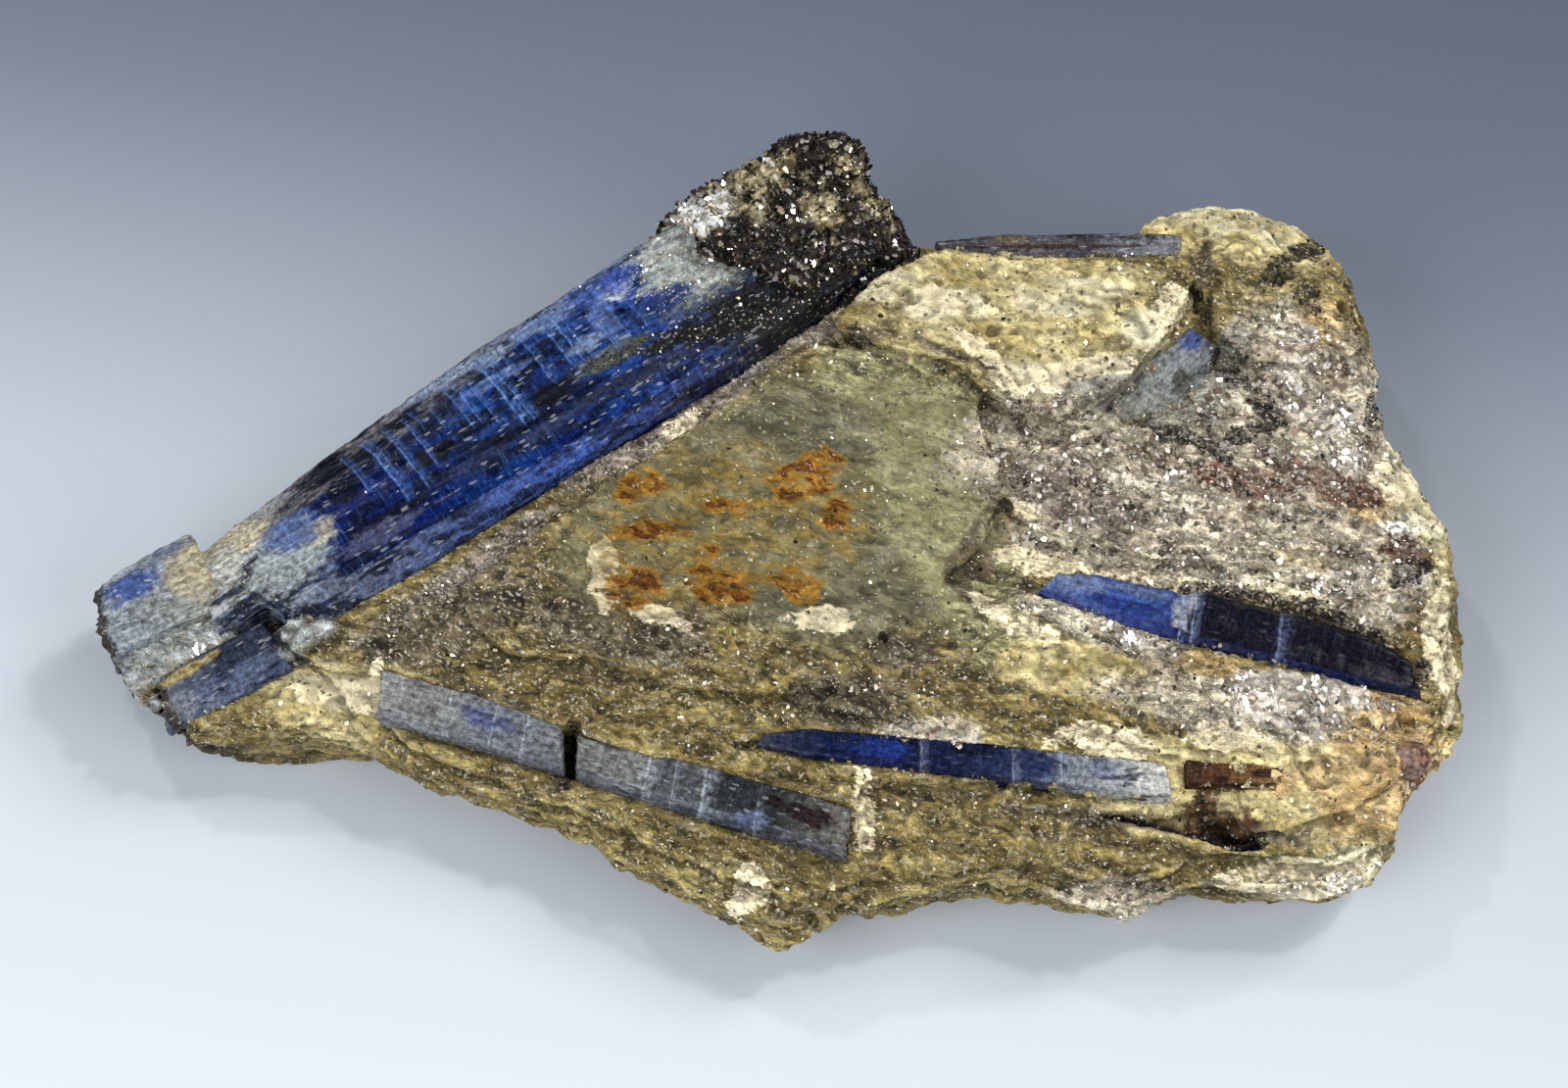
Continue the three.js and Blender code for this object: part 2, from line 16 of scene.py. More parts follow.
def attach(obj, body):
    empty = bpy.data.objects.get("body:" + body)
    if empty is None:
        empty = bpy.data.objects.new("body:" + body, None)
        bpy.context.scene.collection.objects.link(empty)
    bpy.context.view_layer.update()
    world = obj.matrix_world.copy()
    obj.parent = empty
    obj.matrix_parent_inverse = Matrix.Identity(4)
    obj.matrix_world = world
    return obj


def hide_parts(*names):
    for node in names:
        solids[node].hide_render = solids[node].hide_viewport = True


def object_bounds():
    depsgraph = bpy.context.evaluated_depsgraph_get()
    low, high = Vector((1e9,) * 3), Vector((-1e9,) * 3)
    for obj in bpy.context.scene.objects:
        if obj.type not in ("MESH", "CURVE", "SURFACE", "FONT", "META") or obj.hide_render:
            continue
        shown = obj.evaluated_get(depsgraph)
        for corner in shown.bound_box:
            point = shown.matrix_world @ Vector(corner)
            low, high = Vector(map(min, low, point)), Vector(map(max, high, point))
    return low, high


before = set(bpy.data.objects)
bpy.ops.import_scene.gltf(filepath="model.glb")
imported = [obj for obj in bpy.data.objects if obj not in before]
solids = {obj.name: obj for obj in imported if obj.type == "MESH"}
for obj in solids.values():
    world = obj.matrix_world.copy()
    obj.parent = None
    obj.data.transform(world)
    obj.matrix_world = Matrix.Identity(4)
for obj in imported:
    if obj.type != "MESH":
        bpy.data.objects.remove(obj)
cad_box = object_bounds()
MM = 0.001
print("solids:", len(solids), "box:", [round(side / MM, 1) for side in cad_box[1] - cad_box[0]], "mm")

# %% [markdown]
# ## Random fields
# Rock has no straight lines, so most shapes below come from smooth random fields. A field is worked out from the
# position alone, and so it is the same each time. Lumps, streaks and layers differ only in how the field is
# stretched.

# %% Lattice noise
def lattice_share(x, y, z, seed):
    """A repeatable share from 0 to 1 for each point of a whole-number lattice."""
    mixed = (x.astype(np.int64) * 374761393 + y.astype(np.int64) * 668265263
             + z.astype(np.int64) * 1274126177 + seed * 974634777) & 0xFFFFFFFF
    mixed = ((mixed ^ (mixed >> 13)) * 1103515245) & 0xFFFFFFFF
    mixed = ((mixed ^ (mixed >> 15)) * 668265263) & 0xFFFFFFFF
    return ((mixed ^ (mixed >> 16)) & 0xFFFFFF) / float(0xFFFFFF)


def lumps(points, size, seed=0):
    """A smooth field from -1 to 1 whose lumps are about `size` mm across; three sizes make stretched lumps."""
    scaled = points / np.asarray(size, float)
    corner = np.floor(scaled)
    share = scaled - corner
    share = share * share * (3 - 2 * share)
    total = np.zeros(len(points))
    for dx in (0, 1):
        for dy in (0, 1):
            for dz in (0, 1):
                weight = (np.abs(1 - dx - share[:, 0]) * np.abs(1 - dy - share[:, 1])
                          * np.abs(1 - dz - share[:, 2]))
                total += weight * lattice_share(corner[:, 0] + dx, corner[:, 1] + dy, corner[:, 2] + dz, seed)
    return total * 2 - 1


def rough(points, size, seed=0, octaves=4):
    """Lumps on lumps: each octave is half as large and half as strong."""
    field = sum(lumps(points, np.asarray(size, float) / 2**k, seed + 31 * k) / 2**k for k in range(octaves))
    return field / (2 - 2.0 ** (1 - octaves))


def chips(points, size, seed=0):
    """Cuts space into irregular chips: each point's offset from its chip's middle, in chip sizes, and the chip's
    three random shares."""
    scaled = points / np.asarray(size, float)
    home = np.floor(scaled)
    best = np.full(len(points), 1e9)
    offset = np.zeros((len(points), 3))
    shares = np.zeros((len(points), 3))
    for dx in (-1, 0, 1):
        for dy in (-1, 0, 1):
            for dz in (-1, 0, 1):
                cell = home + (dx, dy, dz)
                jitter = np.stack([lattice_share(*cell.T, seed + k) for k in range(3)], 1)
                away = scaled - cell - jitter
                distance = (away**2).sum(1)
                nearer = distance < best
                best[nearer] = distance[nearer]
                offset[nearer] = away[nearer]
                shares[nearer] = np.stack([lattice_share(*cell[nearer].T, seed + 7 + k) for k in range(3)], 1)
    return offset, shares


def fade(value, start, end):
    """0 before start, 1 after end, and smooth between them."""
    share = np.clip((value - start) / (end - start), 0, 1)
    return share * share * (3 - 2 * share)


# %% [markdown]
# ## Meshes as arrays
# A crystal or a rock has far more surface than the solids carry. Each solid is copied and remade as an even net
# of small faces, and the net's points are then moved as arrays of millimetres.

# %% Mesh helpers
def read_all(items, key, width=1, kind=np.float32):
    """One array with a value, or `width` values, of every vertex, edge or other item of a mesh."""
    flat = np.empty(len(items) * width, kind)
    items.foreach_get(key, flat)
    return flat.reshape(-1, width) if width > 1 else flat


def points_of(mesh):
    return read_all(mesh.vertices, "co", 3).astype(float) / MM


def normals_of(mesh):
    return read_all(mesh.vertices, "normal", 3).astype(float)


def move_points(mesh, points):
    mesh.vertices.foreach_set("co", (points * MM).astype(np.float32).ravel())
    mesh.update()


def edges_of(mesh):
    return read_all(mesh.edges, "vertices", 2, np.int32)


PULL = 0.6  # how far a point goes towards the mean of its neighbours in one round

def softened(points, edges, rounds, weight=None):
    """Points drawn towards the mean of their neighbours; a `weight` below 1 spares a point."""
    weight = np.ones(len(points)) if weight is None else weight
    count = np.bincount(edges.ravel(), minlength=len(points))[:, None]
    for _ in range(rounds):
        total = np.zeros_like(points)
        for axis in range(3):
            total[:, axis] = (np.bincount(edges[:, 0], points[edges[:, 1], axis], len(points))
                              + np.bincount(edges[:, 1], points[edges[:, 0], axis], len(points)))
        mean = total / np.maximum(count, 1)
        points = points + (mean - points) * (PULL * weight)[:, None]
    return points


def store(mesh, name, values):
    """Keeps one number, or one vector, for each point of the mesh, for its finish to read."""
    kind, key = ("FLOAT", "value") if values.ndim == 1 else ("FLOAT_VECTOR", "vector")
    mesh.attributes.new(name, kind, "POINT").data.foreach_set(key, values.astype(np.float32).ravel())


def put(name, data):
    """A new object in the scene that holds a mesh, a lamp or a camera."""
    thing = bpy.data.objects.new(name, data)
    bpy.context.scene.collection.objects.link(thing)
    return thing


def settle(piece):
    """Turns what the piece's modifiers show into its own mesh."""
    evaluated = piece.evaluated_get(bpy.context.evaluated_depsgraph_get())
    net = bpy.data.meshes.new_from_object(evaluated)
    piece.modifiers.clear()
    piece.vertex_groups.clear()
    piece.data = net
    net.name = piece.name
    net.shade_smooth()


def fine_net(name, node, cell):
    """A copy of a solid as a new piece with faces about `cell` mm across. The solid itself isn't changed."""
    piece = put(name, solids[node].data.copy())
    piece.data.materials.clear()
    remesh = piece.modifiers.new("net", "REMESH")
    remesh.mode = "VOXEL"
    remesh.voxel_size = cell * MM
    settle(piece)
    return piece


def keep(piece, node, material):
    """Puts the finished piece in the solid's place."""
    piece.data.materials.append(material)
    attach(piece, "root")
    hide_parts(node)
    count = sum(len(face.vertices) - 2 for face in piece.data.polygons)
    print(f"{piece.name}: {count} triangles")


# %% [markdown]
# ## Finishes as node trees
# The finishes are built from a few kinds of node. Short helpers keep each recipe readable: every helper adds one
# node and hands back its output. Colours along a ramp and marks on a crystal are long tables, so they are written
# as text.

# %% Node helpers
def rows(text):
    """The rows of a table written as text: commas part the rows, and spaces part a row's numbers."""
    return [tuple(float(number) for number in row.split()) for row in text.split(",") if row.strip()]


class Recipe:
    """One material's node tree."""

    def __init__(self, name):
        self.material = bpy.data.materials.new(name)
        self.material.use_nodes = True
        self.tree = self.material.node_tree
        self.surface = self.tree.nodes["Principled BSDF"]

    def add(self, kind, output=0, settings=(), **inputs):
        node = self.tree.nodes.new(kind)
        for key, value in dict(settings).items():
            setattr(node, key, value)
        for key, value in inputs.items():
            self.feed(node.inputs[int(key[1:])] if key[0] == "i" and key[1:].isdigit() else node.inputs[key], value)
        return node.outputs[output]

    def feed(self, socket, value):
        if isinstance(value, bpy.types.NodeSocket):
            self.tree.links.new(value, socket)
        else:
            socket.default_value = value

    def vector(self, operation, first, second=(0, 0, 0), scale=1.0):
        return self.add("ShaderNodeVectorMath", settings={"operation": operation}, i0=first, i1=second, i3=scale)

    def calculate(self, operation, first, second=0.0):
        return self.add("ShaderNodeMath", settings={"operation": operation}, i0=first, i1=second)

    def plus(self, first, second):
        return self.calculate("ADD", first, second)

    def minus(self, first, second):
        return self.calculate("SUBTRACT", first, second)

    def times(self, first, second):
        return self.calculate("MULTIPLY", first, second)

    def larger(self, first, second):
        return self.calculate("MAXIMUM", first, second)

    def place(self):
        """Position in the row frame, in millimetres."""
        return self.vector("SCALE", self.add("ShaderNodeTexCoord", output="Object"), scale=1 / MM)

    def read(self, name, output="Fac"):
        return self.add("ShaderNodeAttribute", output=output, settings={"attribute_name": name})

    def stretched(self, vector, size):
        return self.vector("MULTIPLY", vector, tuple(1 / s for s in size))

    def turned(self, vector, degrees):
        return self.add("ShaderNodeVectorRotate", settings={"rotation_type": "Z_AXIS"}, Vector=vector,
                        Angle=math.radians(degrees))

    def wavy(self, vector, size, push):
        """The same place, pushed about so that straight patterns wander."""
        away = self.vector("SUBTRACT", self.noise(vector, size, 2, output="Color"), (0.5, 0.5, 0.5))
        return self.vector("ADD", vector, self.vector("SCALE", away, scale=2 * push))

    def noise(self, vector, size, detail=4.0, roughness=0.55, output="Fac"):
        """Noise with lumps of the given size, or of three sizes along the axes."""
        if isinstance(size, tuple):
            vector, size = self.stretched(vector, size), 1.0
        return self.add("ShaderNodeTexNoise", output=output, Vector=vector, Scale=1 / size, Detail=detail,
                        Roughness=roughness)

    def grains(self, vector, size):
        return self.add("ShaderNodeTexVoronoi", output="Color", Vector=vector, Scale=1 / size)

    def ramp(self, share, stops):
        """Blends through stops; each is a row of its position and its colour's red, green and blue."""
        socket = self.add("ShaderNodeValToRGB", Fac=share)
        elements = socket.node.color_ramp.elements
        stops = rows(stops)
        while len(elements) < len(stops):
            elements.new(0.5)
        for element, (position, *colour) in zip(elements, stops):
            element.position = position
            element.color = (*colour, 1)
        return socket

    def blend(self, share, first, second, mode="MIX"):
        first, second = ((*c, 1) if isinstance(c, tuple) else c for c in (first, second))
        return self.add("ShaderNodeMix", output=2, settings={"data_type": "RGBA", "blend_type": mode},
                        i0=share, i6=first, i7=second)

    def shaded(self, colour, shade):
        return self.blend(1.0, colour, self.add("ShaderNodeCombineXYZ", X=shade, Y=shade, Z=shade), "MULTIPLY")

    def between(self, value, low, high, low_to=0.0, high_to=1.0):
        socket = self.add("ShaderNodeMapRange", settings={"interpolation_type": "SMOOTHSTEP"}, Value=value)
        for key, number in (("From Min", low), ("From Max", high), ("To Min", low_to), ("To Max", high_to)):
            socket.node.inputs[key].default_value = number
        return socket

    def leaning(self, base, vector, size, lean):
        """A normal that each grain of the given size turns its own way."""
        tilt = self.vector("SUBTRACT", self.grains(vector, size), (0.5, 0.5, 0.5))
        return self.vector("NORMALIZE", self.vector("ADD", base, self.vector("SCALE", tilt, scale=lean)))

    def bump(self, height, depth, strength=1.0):
        """A bumped normal; depth is in millimetres."""
        return self.add("ShaderNodeBump", Height=height, Strength=strength, Distance=depth * MM)

    def set(self, **inputs):
        for key, value in inputs.items():
            self.feed(self.surface.inputs[key.replace("_", " ")], value)


# %% [markdown]
# ## The schist
# The slab split along its foliation, so its faces are worn, stepped sheets and its rim shows them edge on. The
# steps of the solid are first eased, because a broken sheet's edge crumbles. The rock is then pressed up against
# each crystal, since a crystal grows in its rock with no gap at all.

# %% Net of the schist, pressed against the crystals
crystal_names = ["large_blade", "tip_segment", "foot_blade", "grey_blade_upper", "grey_blade_lower", "navy_blade",
                 "rusty_stub", "inset_blade", "rim_blade", "buried_blade"]

def tree_of(nodes):
    """A search tree over the surfaces of several solids."""
    vertices, faces = [], []
    for node in nodes:
        mesh = solids[node].data
        start = len(vertices)
        vertices += [tuple(v) for v in points_of(mesh)]
        faces += [[start + i for i in face.vertices] for face in mesh.polygons]
    return BVHTree.FromPolygons(vertices, faces)


def nearest_on(tree, points, reach):
    """Distance to the tree's surface and the way there, for points within reach of it."""
    hits = [tree.find_nearest(Vector(p), reach) for p in points]
    gap = np.array([reach + 1 if hit[0] is None else hit[3] for hit in hits])
    way = np.array([(0, 0, 0) if hit[0] is None else tuple(hit[0] - Vector(p)) for hit, p in zip(hits, points)])
    return gap, way

schist = fine_net("schist_slab", "schist_matrix", 0.32)
net = schist.data
points, edges = points_of(net), edges_of(net)
on_top = fade(normals_of(net)[:, 2], 0.2, 0.7)
ease = np.where(points[:, 2] < 0.6, 0.0, 0.35 + 0.65 * on_top)
points = softened(points, edges, 5, ease)
CONTACT = 0.75  # mm; rock nearer than this to a crystal is pressed against it
gap, way = nearest_on(tree_of(crystal_names + ["garnet_grain", "biotite_crust"]), points, 2.5)
points += way * (1.25 * fade(gap, CONTACT, 0.35))[:, None]
print("schist net:", len(points), "points,", int((gap < CONTACT).sum()), "of them against a crystal")

# %% [markdown]
# Names for the parts of the slab's face. A mica schist is never one colour: here a smooth greenish sheet lies in
# the middle, coarse silvery mica at the right, dark biotite streaks between the two, rust where iron has
# weathered, and pale feldspar along some of the crystals. A few zones paint light and shade instead: shade is
# painted shadow under the ledges, white adds painted highlights to pale mica, and the crack and the left end's low
# rim are darkened with painted shade. They could be painted on by hand, but ragged ellipses in a list can be read,
# measured and changed. Each kind becomes a value on the net's points, which the finish and the mica both read.

# %% Patches of the schist's face
middle = (np.array(cad_box[0]) + np.array(cad_box[1])) / 2 / MM

def patch(points, spots, raggedness=0.35, seed=0, size=4.0):
    """How far each point is inside ragged ellipses. Their rows give x, y, half length and half width in mm, from
    the middle of the whole specimen, and the turn in degrees."""
    wander = raggedness * rough(points, size, seed)
    inside = np.zeros(len(points))
    for x, y, long, short, turn in rows(spots):
        angle = math.radians(turn)
        dx, dy = points[:, 0] - middle[0] - x, points[:, 1] - middle[1] - y
        along = (dx * math.cos(angle) + dy * math.sin(angle)) / long
        across = (-dx * math.sin(angle) + dy * math.cos(angle)) / short
        inside = np.maximum(inside, fade(np.hypot(along, across) + wander, 1.2, 0.75))
    return inside

PATCHES = {
    "green": (0.3, 7.0, "-4 1 15 8 38, 6 -2 12 11 20, 10 6 9 7 0"),
    "pale": (0.5, 5.0, "12 2 4.5 10 10, 9 12 6 3 -20, 17 -8 4 6 30"),
    "gold": (0.35, 6.0, """22 16 12 5.5 -4, 20 20 13 3.2 -2, 38 26 8 4 -10, 38 -23 13 4 0, -36 -14.5 7 2.6 -20,
        52 1 2.6 6 0, 24 -13.6 7 2.4 -10"""),
    "honey": (0.5, 3.5, """37 27.6 7 2.6 -10, 51.6 3 2.6 5 15, 14 18.1 3.2 1.8 0, 20 12 2.8 1.6 -10,
        24 19 5 1.6 0, 8 19.5 4 1.4 10, 30 16 2 2 0, 44 -29.8 7 2.2 4, 50.4 3.4 2.4 2.6 0, 52.8 -11 1.4 5 0,
        -34 -14.2 6 1.2 -20"""),
    "slate": (0.6, 2.0, "28.5 11.2 5.4 2.4 5, 33 11 4.6 3.6 0, 36.4 13.4 2.4 3.2 -20"),
    "amber": (0.6, 2.6, """48 -18.5 3.4 5 70, 45.8 -23 5 3 0, 47.4 .5 2 1.4 0, 44.6 16.8 1.6 2.4 0,
        34 -13 2.4 1 -10, 40 -22.4 3 1 0"""),
    "silver": (0.45, 5.0, """42 8 10 9 60, 34 1 18 4 -8, 38 -16.4 11 2.6 -8, 26 -9.6 7 2 -20, 48 -4 7 4 80,
        27 -31 6 1.4 0, 12 -18.6 4 1.2 0, 24 6.4 9 3.4 -8, 31 -3.4 13 2.2 -11"""),
    "mauve": (0.6, 3.0, "-8 9.5 14 1.8 36, 3 18 6 2.2 30, -24 -4 12 1.4 38, 24 2 6 3 -30"),
    "wine": (0.9, 1.2, """46 2.1 3.6 1.6 -30, 50.4 -3.2 2.4 1.4 0, 42.3 4.2 3.4 1.6 -20, 38 3 4 1.6 -20,
        50 -21 1.4 1.4 0, 33.6 -24.4 1.9 1.3 -35, 35.4 -25.4 2 1.2 -10"""),
    # The crack is lowered into a gap and painted near black, a painted shade in the gap; the dark entries along the
    # same line add to it.
    "crack": (0.15, 1.5, "31.6 -25.8 6.2 .28 -10, 35.2 -26.6 2.6 .75 -12"),
    "dark": (0.75, 1.4, """29.5 8.2 1.8 .5 -15, 32.4 7 2.6 1 -20, 35.4 5.7 2.2 1 -20, 38.6 7.6 2.6 .9 20,
        37.2 12.7 1.2 .8 -50, 39.6 10 2.8 1 -50, 48.5 9.6 .9 1.8 0, 45 24.8 3.4 1.3 30, 41.8 22 2.8 1.2 42,
        43.7 19.1 1.2 1.6 0, 50.5 -5 2 1.2 30, -16.3 -19.9 .9 2.4 -15, 36 -6.5 4.6 .7 -6, 42.6 -8.2 3.6 1 -16,
        47.4 -10.8 2.8 .9 -35, 50.8 -13.2 .8 1.4 0, 27.5 -25.1 3.2 .25 -4, 32.4 -26 3.4 .8 -12,
        36 -26.6 2.4 1.1 -10, -1.2 -19.2 1.8 .6 10, 35.4 18.4 .35 1.3 -10, 34.4 -25.1 2.2 .8 -35"""),
    # The shade zone is painted shadow: dark strips along the foot of the ledges, under the front rim and in wide
    # patches at the left.
    "shade": (0.35, 2.0, """17.4 .6 1.8 .4 40, 15.6 -1.8 2 .45 60, 13.9 -4.6 1.7 .4 75, 16.2 -3.8 1.6 2 60,
        14.6 -6.6 2.2 .6 -50, 6.5 15.8 3.6 .4 -8, 13.6 13.9 2.6 .4 -22, 17.6 12 2 .4 -45, -12 -10 8 3 -10,
        -26 -9 8 3 20, 5.8 -16.2 4.4 2.4 0, 10 -12 2.6 1.6 0, 30 -25.5 12 .8 -6, 35 22 .6 3 -15,
        -22 -15.3 5 .5 -20"""),
    "cream": (0.85, 1.8, """21.6 -3.8 4 1.2 -12, 30 -5.2 5 .7 -8, 41.5 -6.9 4 .7 -15, 19.4 -9.6 4 .8 -30,
        3.6 -9.5 2.2 1.4 0, 13.8 18.5 2.4 1.1 -15, 20.4 11.4 2.6 1.4 -20, 16.4 14.2 3 .8 -35, 25 12.4 4.4 1 8,
        31.9 18 1.4 2.4 -30, 25.4 -19.4 3.4 1.5 -5, 35 -19.2 3.6 1.2 0, 6.9 -24.8 .9 3.4 5, -2.1 -30.7 1.8 1.4 0,
        44 -29.8 6 1.6 4, 37 -29.4 3 .8 0, 52.6 -11 1.4 5 0, -34 -14.4 6 1.2 -20, -31.6 -13.8 .6 2 -15,
        50 3 1.8 2 -40, -9 -9.2 3.4 .8 -25, -13.6 -5.2 1.3 3.2 10, -8 8.2 2.4 .8 35"""),
    # The white zone is pale mica with painted highlights: its bright colour stands where glints and strong light
    # fall, and the brightest leaves crowd there.
    "white": (0.7, 1.2, """-3.1 14 2.6 .9 30, 38.3 -15.8 2.6 1.6 0, 41.8 -17.6 2.4 1.6 0, 45.1 -6 2.4 1.4 10,
        42.6 9.6 1.6 1 -30, 42.3 12.4 2 1.4 -20, 45.5 8.8 2.2 1.6 0, 46.2 5.3 1.8 1.2 0, 39.4 11.3 1.2 .8 0,
        36.7 6.2 .7 .5 0, 33 .6 .8 .4 0, 50.1 -1.1 1.4 1 0, 50.8 -5.4 1.4 1 0, 40 -17.2 3.4 1.2 -10,
        28.4 -10.9 2.4 .9 -15, 42 -15 6 1.2 -12, 14.4 -19.4 1.6 .7 0, 43 -30 4.4 1 4, 48.4 -28.2 2.2 1 20,
        -45 -10 2.4 .7 20, 43 15.6 1.4 1 0"""),
    "rust": (0.6, 2.0, """-11 2.6 2.8 1.2 20, -10.6 -1.4 3.6 1 5, -3.8 .6 2.4 .8 5, 2.2 3.3 3.6 1.8 30,
        4.6 -.4 1.6 1.2 60, -5.4 -3.6 1.2 .8 20, -11.4 -6.4 2.4 2.2 15, -4 -6.4 3.4 1.6 -15, 2 -6.6 2.2 1.4 -30"""),
    "halo": (0.5, 3.0, "-4.5 -1.2 12 7 8"),
    "glass": (0.35, 3.0, """-46.7 -9.5 4.5 1.8 22, -50.9 -11.6 2.8 2.6 60, -48.5 -14.9 1.8 1.4 0,
        -39 -9.7 3 1.3 30, -36.2 -10.2 1.8 .9 20"""),
    "olive": (0.3, 2.0, "-45.5 -11.3 2.6 .9 27"),
}
FACE_START, FACE_FULL = 5.8, 7.4  # heights in mm between which the rim turns into the face
on_face = fade(points[:, 2], FACE_START, FACE_FULL)
zones = {name: patch(points, spots, ragged, 11 + 7 * k, size) * on_face
         for k, (name, (ragged, size, spots)) in enumerate(PATCHES.items())}
# The low rim at the left end is darkened to brown: painted shade.
zones["bark"] = fade(points[:, 0], -38, -47) * fade(points[:, 2], 8.2, 6.6)
for name, values in zones.items():
    print(f"{name}: {values.mean() * 100:.1f}% of the net")

# %% [markdown]
# The relief has four scales: wide swells, ledges where thin sheets have flaked off, single tilted plates, and the
# layering that shows only on the rim. The smooth sheet in the middle takes much less of each. The finish alone
# could fake it all, but moved points keep their outline, cast shadows and can be measured.

# %% Relief of the schist
def turned(points, degrees):
    """The points seen in axes turned about Z, for patterns that run at an angle."""
    c, s = math.cos(math.radians(degrees)), math.sin(math.radians(degrees))
    return points @ np.array([[c, -s, 0], [s, c, 0], [0, 0, 1]])

facing = normals_of(net)
calm = 1 - 0.7 * zones["green"] - 0.4 * zones["gold"] * (1 - zones["silver"])
swell = 0.5 * rough(points, 8.0, 3)
LEDGES, LEDGE_HEIGHT = 3.6, 0.34
steps = rough(points, (7.0, 5.0, 30.0), 9, 5) * LEDGES
ledge = (np.floor(steps) + fade(steps - np.floor(steps), 0.6, 1.0)) * LEDGE_HEIGHT
flow = turned(points + 0.7 * rough(points, 1.8, 5)[:, None], -18)
offset, shares = chips(flow, (1.9, 0.9, 1.0), 13)
plates = (offset * (shares - 0.5)).sum(1) * 0.6 + (shares[:, 0] - 0.5) * 0.16
grit = 0.1 * rough(points, 0.8, 17, 2)
folded = points + np.array((0, 0, 1)) * (2.6 * rough(points, (9.0, 9.0, 30.0), 21))[:, None]
layering = (0.25 + 0.6 * fade(rough(points, 7.0, 23), -0.4, 0.4)) * lumps(folded, (9.0, 9.0, 0.9), 29)
layering += 0.3 * lumps(folded, (4.0, 4.0, 0.45), 33) + 0.3 * rough(points, 1.6, 35)
upward = fade(facing[:, 2], 0.35, 0.75)
height = (upward * (1 - 0.6 * zones["green"]) * (swell + ledge)
          + (plates + grit) * calm * (1 + 0.5 * zones["silver"]))
height += (1 - upward) * (layering * 0.8 + 0.6 * rough(points, 3.0, 25))
height *= np.where(points[:, 2] > 5, 0.25 + 0.75 * fade(gap, 0.15, 1.2), 1.0)
height += upward * (1.5 * zones["glass"] * fade(points[:, 0], 0, -5) + 0.12 * zones["cream"]
                    - 1.1 * zones["crack"] - 0.25 * zones["dark"])
points = points + facing * (height * fade(points[:, 2], 0.1, 1.2))[:, None]
points[:, 2] = np.maximum(points[:, 2], 0.0)
# hollow is how far each point sits below its neighbours; the finish turns it into painted shade in the hollows and
# painted light on the ridges.
hollow = ((points - softened(points, edges, 5)) * facing).sum(1)
move_points(net, points)
store(net, "hollow", hollow)
for name, values in zones.items():
    store(net, name, values)
print("relief from", round(height.min(), 2), "to", round(height.max(), 2), "mm")

# %% [markdown]
# The underside is a flat cleavage face with nothing on it, so its net can be coarser. Thinning the whole slab
# would blunt the ledges of the face. So a vertex group limits the modifier to the low points, and the saved faces
# go to the mica.

# %% Thin out the underside's net
low = schist.vertex_groups.new(name="low")
HIDDEN_BELOW = 5.5
low.add(np.where(points[:, 2] < HIDDEN_BELOW)[0].tolist(), 1.0, "REPLACE")
thin = schist.modifiers.new("thin", "DECIMATE")
thin.vertex_group = "low"
thin.vertex_group_factor = 1000
thin.use_collapse_triangulate = True
thin.ratio = 0.62
settle(schist)
print("schist net:", len(schist.data.polygons), "faces after thinning")

# %% [markdown]
# Schist looks the way it does because every grain of mica is a little mirror at its own angle. So each grain in
# the finish leans its own way, which a Voronoi pattern's random colours give directly. Noise of three sizes does
# the rest: broad stains, crinkles of about a millimetre that also bump the surface, and a fine salt and pepper.

